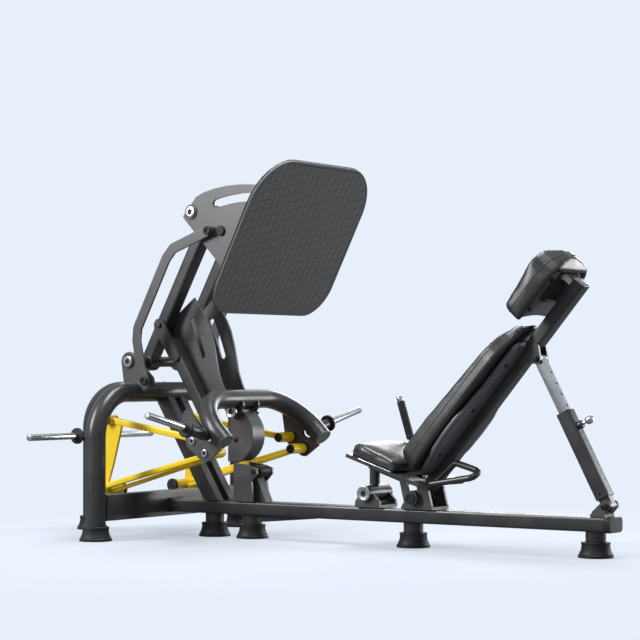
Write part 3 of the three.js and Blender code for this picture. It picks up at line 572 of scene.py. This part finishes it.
# ---------------------------------------------------------------- pivots of the press arm
def build_pivot_hardware():
    for side, sign in SIDES.items():
        out = (0, sign, 0)
        for label, pivot, body in (("arm", ARM, "frame"), ("carrier", CARRIER, "footplate_carrier")):
            washer = turned(f"{label}_washer_{side}", [(29, 0), (30, 0.8), (30, 3.2), (29, 4)],
                            offset_y(pivot, 237 * sign), out)
            dress(washer, "frame_paint", body)
            socket_bolt(f"{label}_bolt_{side}", offset_y(pivot, 241 * sign), out, 23, 7, "chrome", body)
        ends = (("link_foot", LINK, "frame"), ("link_head", LINK_TOP, "footplate_carrier"))
        for label, pivot, body in ends:
            socket_bolt(f"{label}_bolt_{side}", offset_y(pivot, 263 * sign), out, 18, 8, "black_rubber", body)
        knee_cap = turned(f"knee_cap_{side}", [(12, 0), (12, 2.5), (10.5, 4), (4, 4.4)],
                          offset_y(KNEE, 148 * sign), out, 32)
        dress(knee_cap, "frame_paint", "press_arm")
        socket_bolt(f"seat_hub_bolt_{side}", offset_y(BACK, 86 * sign), out, 22, 6, "black_rubber", "frame")
        socket_bolt(f"roller_bolt_{side}", offset_y(ROLLER, 78 * sign), out, 30, 5, "chrome", "frame", 0.36)
        cap_screw(f"strut_foot_screw_{side}", offset_y(STRUT_BASE, 42 * sign), out, 13, 6, "frame")
        cap_screw(f"strut_head_screw_{side}", offset_y(STRUT_TOP, 38 * sign), out, 11, 5, "backrest")
        cap_screw(f"bumper_screw_{side}", offset_y(BUMPER, 58 * sign), out, 11, 5, "frame")


def build_bumper():
    profile = [(9, 0.3), (9, 12), (20, 12), (23, 14), (24, 18), (24, 74), (23, 78), (20, 80),
               (9, 80), (9, 91.7)]
    roller = turned("stop_bumper_roller", profile, offset_y(BUMPER, -46), ACROSS)
    dress(roller, "black_rubber", "frame", "stop_bumper")


# ---------------------------------------------------------------- footplate
PLATE_TILT = math.radians(27)
PLATE_CENTRE = place(213, 0, 1194)
PLATE_UP = Vector((math.sin(PLATE_TILT), 0, math.cos(PLATE_TILT)))
PLATE_FRONT = Vector((math.cos(PLATE_TILT), 0, -math.sin(PLATE_TILT)))
MAT_HALF_WIDTH, MAT_HALF_HEIGHT, MAT_CORNER, MAT_CROWN = 389, 328, 137, 193


def tread_depth(u, v):
    """How deep the leaf pattern is cut at a point of the mat, from 0 to 1."""
    turn = math.radians(50)
    along = u * math.cos(turn) + v * math.sin(turn)
    across = -u * math.sin(turn) + v * math.cos(turn)
    sway = 0.36 * math.sin(2 * math.pi * along / 130)
    lines = [abs(math.sin(math.pi * (across / 46 + sway * sign))) for sign in (-1, 1)]
    return max(math.exp(-((line / 0.2) ** 2)) for line in lines)


def build_mat():
    rows, columns = 250, 290
    rim = 9
    front, back, groove_shade_values = [], [], []
    for i in range(rows + 1):
        v = MAT_HALF_HEIGHT * (2 * i / rows - 1)
        corner = MAT_CROWN if v > 0 else MAT_CORNER
        over = max(0, abs(v) - (MAT_HALF_HEIGHT - corner))
        width = MAT_HALF_WIDTH - corner + math.sqrt(max(corner ** 2 - over ** 2, 0))
        for k in range(columns + 1):
            u = width * (2 * k / columns - 1)
            inset = min(width - abs(u), MAT_HALF_HEIGHT - abs(v))
            fade = min(max((inset - rim) / 3, 0), 1)
            cutting = fade * tread_depth(u, v)
            level = -0.3 - 0.6 * fade - 1.2 * cutting - (1.2 if inset < 1.2 else 0)
            point = PLATE_CENTRE + ACROSS * u * MM + PLATE_UP * v * MM
            front.append(point + PLATE_FRONT * level * MM)
            back.append(point - PLATE_FRONT * 10 * MM)
            # painted shade mask: the leaf grooves and a band along the step inside the raised rim are coloured
            # darker, standing in for the shade there
            groove_shade_values.append(max(cutting, 0.8 if rim <= inset < rim + 5 else 0))
    count = len(front)
    step = columns + 1
    faces = []
    for i in range(rows):
        for k in range(columns):
            a = i * step + k
            faces.append((a, a + 1, a + step + 1, a + step))
            faces.append((count + a, count + a + step, count + a + step + 1, count + a + 1))
    border = [k for k in range(columns)] + [i * step + columns for i in range(rows)]
    border += [rows * step + k for k in range(columns, 0, -1)] + [i * step for i in range(rows, 0, -1)]
    for a, b in zip(border, border[1:] + border[:1]):
        faces.append((a, count + a, count + b, b))
    mat = new_object("footplate_tread", front + back, faces)
    painted_groove_shade = mat.data.attributes.new("painted_groove_shade", "FLOAT", "POINT")
    painted_groove_shade.data.foreach_set("value", groove_shade_values + [0.0] * count)
    tidy(mat)
    dress(mat, "tread_rubber", "footplate_carrier", "footplate_mat", sharp=50)


# ---------------------------------------------------------------- cushions
def axes(origin, along, up):
    """The matrix of a pad's own frame: along it, across the machine, and out of its face."""
    matrix = Matrix((along, ACROSS, up)).transposed().to_4x4()
    matrix.translation = origin
    return matrix


BACK_ALONG = Vector((684, 0, 804)).normalized()
BACK_FRONT = Vector((-BACK_ALONG.z, 0, BACK_ALONG.x))
BACK_AXES = axes(BACK, BACK_ALONG, BACK_FRONT)
SEAT_TILT = math.radians(18)
SEAT_AXES = axes(place(565, 0, 347), Vector((math.cos(SEAT_TILT), 0, -math.sin(SEAT_TILT))),
                 Vector((math.sin(SEAT_TILT), 0, math.cos(SEAT_TILT))))


def apply_modifiers(piece):
    """Bakes a piece's modifiers into its mesh."""
    graph = bpy.context.evaluated_depsgraph_get()
    mesh = bpy.data.meshes.new_from_object(piece.evaluated_get(graph))
    piece.modifiers.clear()
    piece.data = mesh


EVENING_PASSES = 40              # how often a point's movement is averaged with its neighbours'


def inflate(piece, pinned, pressure, cap):
    """Swells a pad with cloth pressure, holds its back, and limits and evens out the movement."""
    start = [v.co.copy() for v in piece.data.vertices]
    group = piece.vertex_groups.new(name="held")
    group.add([v.index for v in piece.data.vertices if pinned(v.co)], 1.0, "REPLACE")
    cloth = piece.modifiers.new("cloth", "CLOTH")
    cloth.settings.vertex_group_mass = "held"
    cloth.settings.use_pressure = True
    cloth.settings.uniform_pressure_force = pressure
    cloth.settings.effector_weights.gravity = 0
    cloth.settings.tension_stiffness = 40
    cloth.settings.compression_stiffness = 40
    cloth.settings.bending_stiffness = 2
    cloth.collision_settings.use_collision = False
    scene = bpy.context.scene
    for number in range(1, 21):
        scene.frame_set(number)
    apply_modifiers(piece)
    scene.frame_set(1)
    moves = []
    for vertex, old in zip(piece.data.vertices, start):
        move = vertex.co - old
        moves.append(move.normalized() * min(move.length, cap * MM))
    neighbours = [[] for _ in moves]
    for edge in piece.data.edges:
        a, b = edge.vertices
        neighbours[a].append(b)
        neighbours[b].append(a)
    for _ in range(EVENING_PASSES):
        moves = [(move + sum((moves[k] for k in near), Vector()) / max(len(near), 1)) / 2
                 for move, near in zip(moves, neighbours)]
    for vertex, old, move in zip(piece.data.vertices, start, moves):
        vertex.co = old + move
    piece.vertex_groups.clear()


def cushion(name, matrix, node, warp, back_level, cap, rounding, pressure=4):
    """A stuffed pad from its CAD solid: rounded, shaped, swollen and smoothed."""
    inverse = matrix.inverted()
    source = NODES[node].data
    verts = [inverse @ v.co for v in source.vertices]
    pad = new_object(name, verts, [tuple(p.vertices) for p in source.polygons])
    tidy(pad, 2e-6)
    middle = sum((v.co.x for v in pad.data.vertices)) / len(pad.data.vertices)
    for vertex in pad.data.vertices:
        vertex.co.x = middle + (vertex.co.x - middle) * 0.99
        vertex.co.y *= 0.975
    soften = pad.modifiers.new("soften", "BEVEL")
    soften.width = rounding * MM
    soften.segments = 4
    soften.limit_method = "ANGLE"
    soften.angle_limit = math.radians(50)
    remesh = pad.modifiers.new("remesh", "REMESH")
    remesh.mode = "VOXEL"
    remesh.voxel_size = 6 * MM
    smooth = pad.modifiers.new("smooth", "SMOOTH")
    smooth.iterations = 5
    apply_modifiers(pad)
    for vertex in pad.data.vertices:
        a, y, f = (c / MM for c in vertex.co)
        vertex.co = Vector(warp(a, y, f)) * MM
    inflate(pad, lambda co: co.z / MM < back_level + 9, pressure, cap)
    smooth = pad.modifiers.new("smooth", "SMOOTH")
    smooth.iterations = 3
    divide = pad.modifiers.new("divide", "SUBSURF")
    divide.levels = divide.render_levels = 1
    apply_modifiers(pad)
    pad.data.transform(matrix)
    pad.data.update()
    dress(pad, "upholstery", BODY[node], node, sharp=70)
    return pad


def seam(name, pad, matrix, centre, plane, radius, body, material=None, samples=180):
    """A sewn cord round a pad, laid on its surface in a plane across or along its face."""
    tree = BVHTree.FromPolygons([v.co for v in pad.data.vertices],
                                [tuple(p.vertices) for p in pad.data.polygons])
    points = []
    for k in range(samples):
        angle = 2 * math.pi * k / samples
        c, s = math.cos(angle), math.sin(angle)
        local = Vector((c, s, 0)) if plane == "face" else Vector((0, c, s))
        out = (matrix.to_3x3() @ local).normalized()
        middle = matrix @ (Vector(centre) * MM)
        hit, normal, _, _ = tree.ray_cast(middle + out * 0.8, -out)
        if hit is not None:
            points.append(hit + normal * radius * 0.15 * MM)
    curve = bpy.data.curves.new(name, "CURVE")
    curve.dimensions = "3D"
    curve.bevel_depth = radius * MM
    curve.bevel_resolution = 3
    spline = curve.splines.new("POLY")
    spline.points.add(len(points) - 1)
    for slot_point, point in zip(spline.points, points):
        slot_point.co = (*point, 1)
    spline.use_cyclic_u = True
    cord = bpy.data.objects.new(name, curve)
    bpy.context.scene.collection.objects.link(cord)
    curve.materials.append(material or THREAD)
    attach(cord, body)


def warp_back(a, y, f):
    """A crowned face over the lumbar bend."""
    crown = max(0, 1 - (y / 150) ** 2)
    return a, y, f + (7 * crown if f > 70 else 0)


def warp_head(a, y, f):
    """A crowned face, and a rim behind that wraps round the plate."""
    crown = max(0, 1 - (y / 148) ** 2)
    recess = min(max((116 - abs(y)) / 6, 0), 1) * min(max((1056 - a) / 6, 0), 1)
    if f < 84:
        f += 12 * recess - 7 * (1 - recess) * min(max((84 - f) / 16, 0), 1)
    return a, y, f + (8 * crown if f > 110 else 0)


def warp_seat(a, y, f):
    """A crowned top."""
    crown = max(0, 1 - (y / 178) ** 2)
    return a, y, f + (8 * crown if f > 40 else 0)


def build_cushions():
    back = cushion("backrest_cushion", BACK_AXES, "backrest_pad", warp_back, 38.6, 8, 15)
    seam("backrest_seam", back, BACK_AXES, (440, 0, 52), "face", 1.8, "backrest")
    seam("backrest_front_seam", back, BACK_AXES, (440, 0, 82), "face", 1.3, "backrest")
    seam("backrest_top_seam", back, BACK_AXES, (684, 0, 62), "cross", 1.5, "backrest")
    head = cushion("headrest_cushion", BACK_AXES, "headrest_pad", warp_head, 62.6, 6, 14)
    seam("headrest_seam", head, BACK_AXES, (965, 0, 104), "face", 1.6, "backrest")
    seam("headrest_top_seam", head, BACK_AXES, (1030, 0, 104), "cross", 1.4, "backrest")
    seam("headrest_low_seam", head, BACK_AXES, (846, 0, 100), "cross", 1.4, "backrest")
    seat = cushion("seat_cushion", SEAT_AXES, "seat_pad", warp_seat, 14.6, 6, 10)
    seam("seat_seam", seat, SEAT_AXES, (115, 0, 28), "face", 1.6, "frame")
    seam("seat_edge_seam", seat, SEAT_AXES, (115, 0, 50), "face", 1.6, "frame")


# ---------------------------------------------------------------- behind the pads
def cover_half_width(a):
    """The back shell is widest low down and drawn in above."""
    stops = [(96, 92), (182, 116), (240, 136), (310, 143), (370, 141), (450, 118), (540, 103),
             (640, 98), (760, 88)]
    for (a0, w0), (a1, w1) in zip(stops, stops[1:]):
        if a <= a1:
            share = min(max((a - a0) / (a1 - a0), 0), 1)
            return w0 + (w1 - w0) * share * share * (3 - 2 * share)
    return stops[-1][1]


def build_back_cover():
    rings = []
    stations = [102, 106, 118] + list(range(135, 725, 15)) + [728, 738, 744]
    for a in stations:
        width = cover_half_width(a)
        close = min(1, ((a - 96) / 26) ** 0.5, ((750 - a) / 22) ** 0.5)
        width *= 0.8 + 0.2 * close
        depth = 27.4 * (0.55 + 0.45 * close)
        ring = []
        for k in range(48):
            angle = 2 * math.pi * k / 48
            c, s = math.cos(angle), math.sin(angle)
            y = width * math.copysign(abs(c) ** 0.35, c)
            f = 24 + 0.5 * depth * math.copysign(abs(s) ** 0.5, s)
            ring.append(BACK_AXES @ (Vector((a, y, min(max(f, 10.3), 38))) * MM))
        rings.append(ring)
    shell = loft("backrest_shell", rings)
    dress(shell, "back_cover", "backrest", "backrest_cover", sharp=45)
    for side, sign in SIDES.items():
        for number, a in enumerate((210, 430, 650)):
            spot = BACK_AXES @ (Vector((a, 78 * sign, 10.4)) * MM)
            cap_screw(f"shell_screw_{number}_{side}", spot, -BACK_FRONT, 8, 4, "backrest")


def build_head_plate():
    """The plate behind the headrest, hollowed below like the pad, with its wedge and bolts."""
    outline = []
    for k in range(17):
        y = 112 - 14 * k
        outline.append((850 - 14 * (y / 112) ** 2, y))
    for quarter in (0, 1):
        sign = -1 if quarter == 0 else 1
        for k in range(9):
            angle = math.pi / 2 * k / 8
            a = 1012 + 38 * (math.sin(angle) if quarter == 0 else math.cos(angle))
            y = sign * (74 + 38 * (math.cos(angle) if quarter == 0 else math.sin(angle)))
            outline.append((a, y))
    rings = []
    for level, shrink in ((62.4, 0.985), (63.1, 0.997), (64.0, 1), (74.0, 1)):
        ring = [BACK_AXES @ (Vector((943 + (a - 943) * shrink, y * shrink, level)) * MM) for a, y in outline]
        rings.append(ring)
    dress(loft("headrest_plate", rings), "back_cover", "backrest")
    rings = []
    sections = ((63, 84, 930, 1012), (60, 86, 930, 1012), (36, 33, 944, 1012), (25.4, 32.6, 946, 1010))
    for level, half, low, high in sections:
        ring = [(low, -half), (low, half), (high, half), (high, -half)]
        rings.append([BACK_AXES @ (Vector((a, y, level)) * MM) for a, y in ring])
    dress(loft("headrest_bracket", rings), "black_rubber", "backrest")
    for side, sign in SIDES.items():
        for number, a in enumerate((878, 1018)):
            spot = BACK_AXES @ (Vector((a, 98 * sign, 62.6)) * MM)
            cap_screw(f"headrest_screw_{number}_{side}", spot, -BACK_FRONT, 9, 7, "backrest")


def build_post_cap():
    """The plastic plug in the upper end of the back post."""
    half_f, half_y = 25, 30
    rings = []
    for level, inset in ((1050, 3), (1055.4, -0.4), (1058, -0.4), (1060, 1.2), (1061, 4)):
        ring = []
        for k in range(40):
            angle = 2 * math.pi * k / 40
            c, s = math.cos(angle), math.sin(angle)
            y = (half_y - inset) * math.copysign(abs(c) ** 0.3, c)
            f = (half_f - inset) * math.copysign(abs(s) ** 0.3, s)
            ring.append(BACK_AXES @ (Vector((level, y, f)) * MM))
        rings.append(ring)
    dress(loft("post_end_cap", rings), "back_cover", "backrest")


# ---------------------------------------------------------------- hand parts
def build_lever():
    tip = place(573, 205, 577)
    direction = (tip - LEVER).normalized()
    length = (tip - LEVER).length / MM
    boss = turned("release_lever_boss", [(8.6, 0), (15, 0), (16, 1), (16, 18), (15, 19), (8.6, 19)],
                  offset_y(LEVER, 195), ACROSS)
    dress(boss, "frame_paint", "release_lever", "release_lever")
    shank = turned("release_lever_shank", [(9, 12), (9, length * 0.5)], LEVER, direction)
    dress(shank, "frame_paint", "release_lever")
    profile = [(10, length * 0.46), (15, length * 0.465), (16, length * 0.475)]
    grooves = 14
    for k in range(grooves):
        s = length * (0.49 + 0.41 * k / grooves)
        profile += [(15.8, s), (15.8, s + 5.5), (15.1, s + 6.3), (15.1, s + 7.2)]
    profile += [(16, length * 0.92), (15, length * 0.93), (12.5, length * 0.932)]
    dress(turned("release_lever_grip", profile, LEVER, direction), "black_rubber", "release_lever")
    end = [(12, length * 0.925), (13, length * 0.935), (13, length * 0.985), (11.5, length * 0.996),
           (8, length)]
    dress(turned("release_lever_tip", end, LEVER, direction), "chrome", "release_lever")
    ring = [(15, 0), (16.5, 1), (16.5, 4), (12, 6)]
    dress(turned("lever_pin_cap", ring, offset_y(LEVER, 214.3), ACROSS), "black_rubber", "frame")


def build_hand_rail():
    corners = [place(901, -88, 250), place(1084, -88, 280), place(1090, -46, 302), place(985, -48, 331),
               place(871, -48, 233)]
    rail = swept("hand_rail_tube", bent_path(corners, 20, 10), 12.5, 28)
    dress(rail, "frame_paint", "frame", "hand_rail")


def build_strut_holes():
    """Black plugs in the adjusting holes of the inner bar, as painted shade inside the holes."""
    along = (STRUT_BASE - STRUT_TOP).normalized()
    out = Vector((-along.z, 0, along.x))
    for number in range(6):
        centre = STRUT_TOP + along * (66 + 45 * number) * MM
        # painted shade: a solid black plug fills each hole in place of the shade inside it
        hole_shade = turned(f"strut_hole_{number}", [(6.7, -18.2), (6.7, 18.2)], centre, out, 24)
        dress(hole_shade, "black_rubber", "strut_bar")


def build_seat_trim():
    """The bright edging between the seat board and its pad."""
    corners = [(214, 168), (60, 168), (8, 132), (4, 90), (4, -90), (8, -132), (60, -168), (214, -168)]
    points = [SEAT_AXES @ (Vector((a, y, 14.4)) * MM) for a, y in corners]
    trim = swept("seat_trim", bent_path(points, 24, 6), 2.6, 12)
    dress(trim, "chrome", "frame")


def build_carrier_stop():
    """A rubber disc on the outside of each carrier plate."""
    for side, sign in SIDES.items():
        stop = turned(f"carrier_stop_{side}", [(19, 0), (20, 1.5), (20, 7), (18, 9), (6, 9.4)],
                      place(21, 237 * sign, 1229), (0, sign, 0))
        dress(stop, "black_rubber", "footplate_carrier")


def build_pull_pin():
    along = (STRUT_BASE - STRUT_TOP).normalized()
    out = Vector((-along.z, 0, along.x))
    if out.x < 0:
        out = -out
    root = STRUT_TOP + along * (66 + 45 * 5) * MM
    stem = turned("pull_pin_stem", [(4, 20.6), (6, 23), (6, 64)], root, out)
    dress(stem, "chrome", "pull_pin", "pull_pin")
    knob = [(6, 60), (10, 61.5), (12, 64), (15, 68), (15.5, 72), (15.5, 84), (14, 89), (10, 91.6), (5, 92.4)]
    dress(turned("pull_pin_knob", knob, root, out), "chrome", "pull_pin")
    collar = [(15, 24), (15.6, 42), (14.5, 44.6), (9, 45)]
    dress(turned("pull_pin_collar", collar, root, out), "frame_paint", "strut_sleeve")


# ---------------------------------------------------------------- studio
def build_studio():
    pale = (0.80, 0.865, 0.962)
    scene = bpy.context.scene
    scene.view_settings.view_transform = "Standard"
    scene.view_settings.look = "None"
    world = bpy.data.worlds.new("studio")
    scene.world = world
    world.use_nodes = True
    tree = world.node_tree
    backdrop = tree.nodes["Background"]
    backdrop.inputs["Color"].default_value = (*pale, 1)
    room = tree.nodes.new("ShaderNodeBackground")
    room.inputs["Color"].default_value = (*pale, 1)
    room.inputs["Strength"].default_value = 0.5
    ray = tree.nodes.new("ShaderNodeLightPath")
    mixed = tree.nodes.new("ShaderNodeMixShader")
    tree.links.new(ray.outputs["Is Camera Ray"], mixed.inputs["Fac"])
    tree.links.new(room.outputs["Background"], mixed.inputs[1])
    tree.links.new(backdrop.outputs["Background"], mixed.inputs[2])
    tree.links.new(mixed.outputs["Shader"], tree.nodes["World Output"].inputs["Surface"])

    floor = new_object("floor", [(-40, -40, 0), (40, -40, 0), (40, 40, 0), (-40, 40, 0)], [(0, 1, 2, 3)])
    material, tree, node = shader("floor")
    node.inputs["Base Color"].default_value = (0.5, 0.54, 0.6, 1)
    node.inputs["Roughness"].default_value = 0.9
    glow = tree.nodes.new("ShaderNodeEmission")
    glow.inputs["Color"].default_value = (*pale, 1)
    where = tree.nodes.new("ShaderNodeTexCoord")
    reach = tree.nodes.new("ShaderNodeVectorMath")
    reach.operation = "LENGTH"
    tree.links.new(where.outputs["Object"], reach.inputs[0])
    fade = spread(tree, reach.outputs["Value"], 0.5, 1, 1.0, 2.4)
    ray = tree.nodes.new("ShaderNodeLightPath")
    seen = tree.nodes.new("ShaderNodeMath")
    seen.operation = "MULTIPLY"
    tree.links.new(ray.outputs["Is Camera Ray"], seen.inputs[0])
    tree.links.new(fade, seen.inputs[1])
    mixed = tree.nodes.new("ShaderNodeMixShader")
    tree.links.new(seen.outputs["Value"], mixed.inputs["Fac"])
    tree.links.new(node.outputs["BSDF"], mixed.inputs[1])
    tree.links.new(glow.outputs["Emission"], mixed.inputs[2])
    dull = tree.nodes.new("ShaderNodeBsdfDiffuse")
    dull.inputs["Color"].default_value = (0.15, 0.15, 0.16, 1)
    shown = tree.nodes.new("ShaderNodeMixShader")
    tree.links.new(ray.outputs["Is Camera Ray"], shown.inputs["Fac"])
    tree.links.new(dull.outputs["BSDF"], shown.inputs[1])
    tree.links.new(mixed.outputs["Shader"], shown.inputs[2])
    tree.links.new(shown.outputs["Shader"], tree.nodes["Material Output"].inputs["Surface"])
    floor.data.materials.append(material)

    def area(name, position, target, size, power, color=(1, 1, 1)):
        lamp = bpy.data.lights.new(name, "AREA")
        lamp.shape = "RECTANGLE"
        lamp.size, lamp.size_y = size
        lamp.energy = power
        lamp.color = color
        holder = bpy.data.objects.new(name, lamp)
        scene.collection.objects.link(holder)
        holder.location = position
        holder.rotation_euler = (Vector(target) - Vector(position)).to_track_quat("-Z", "Y").to_euler()

    area("key", (-3.0, -4.6, 3.4), (0, 0, 0.6), (1.2, 3.2), 300)
    area("top", (0.4, 0.2, 4.4), (0, 0, 0.5), (3.2, 1.0), 190)
    area("rim", (-1.2, 4.8, 2.2), (0, 0, 0.8), (3.2, 1.2), 100)
    area("side", (3.2, 4.5, 1.0), (0.4, 0, 0.6), (1.0, 2.6), 110)

    lens = bpy.data.cameras.new("camera")
    lens.lens = 117.3
    lens.sensor_width = 36
    lens.shift_y = 0.078
    camera = bpy.data.objects.new("camera", lens)
    scene.collection.objects.link(camera)
    camera.location = (4.678, -6.778, 0.680)
    camera.rotation_euler = Vector((-0.570, 0.8216, 0)).to_track_quat("-Z", "Y").to_euler()
    scene.camera = camera


# ---------------------------------------------------------------- assembly
FINE_EDGES = {
    "main_beam": 5.0, "beam_end_cap": 3.0, "portal_base_beam": 4.0, "footplate": 3.0,
    "footplate_backing": 2.0,
    "press_arm_left": 2.0, "press_arm_right": 2.0, "lift_rod_left": 2.0, "lift_rod_right": 2.0,
    "backrest_post": 2.0, "strut_outer": 1.6, "strut_inner": 1.0,
}
SMOOTH_NODES = [
    "main_beam", "beam_end_cap", "portal_base_beam", "tower_post_left", "tower_post_right",
    "link_bracket_left", "link_bracket_right", "press_arm_left", "press_arm_right",
    "control_link_left", "control_link_right", "footplate", "footplate_backing",
    "carrier_plate_left", "carrier_plate_right", "lift_rod_left", "lift_rod_right",
    "fin_plate_left", "fin_plate_right", "gusset_left", "gusset_right",
    "yellow_frame_left", "yellow_frame_right", "weight_pivot_bracket_left",
    "weight_pivot_bracket_right", "sector", "pedestal", "seat_frame", "front_support",
    "seat_bracket", "backrest_post", "strut_inner", "strut_outer", "strut_bracket",
]

build_studio()
build_arches()
build_feet()
build_shafts()
build_horns()
build_u_bar()
build_weight_arm_hardware()
build_pivot_hardware()
build_bumper()
build_mat()
build_cushions()
build_back_cover()
build_head_plate()
build_post_cap()
build_lever()
build_hand_rail()
build_pull_pin()
build_strut_holes()
build_seat_trim()
build_carrier_stop()
for smooth_node in SMOOTH_NODES:
    refined(smooth_node, FINE_EDGES.get(smooth_node, 1.4))
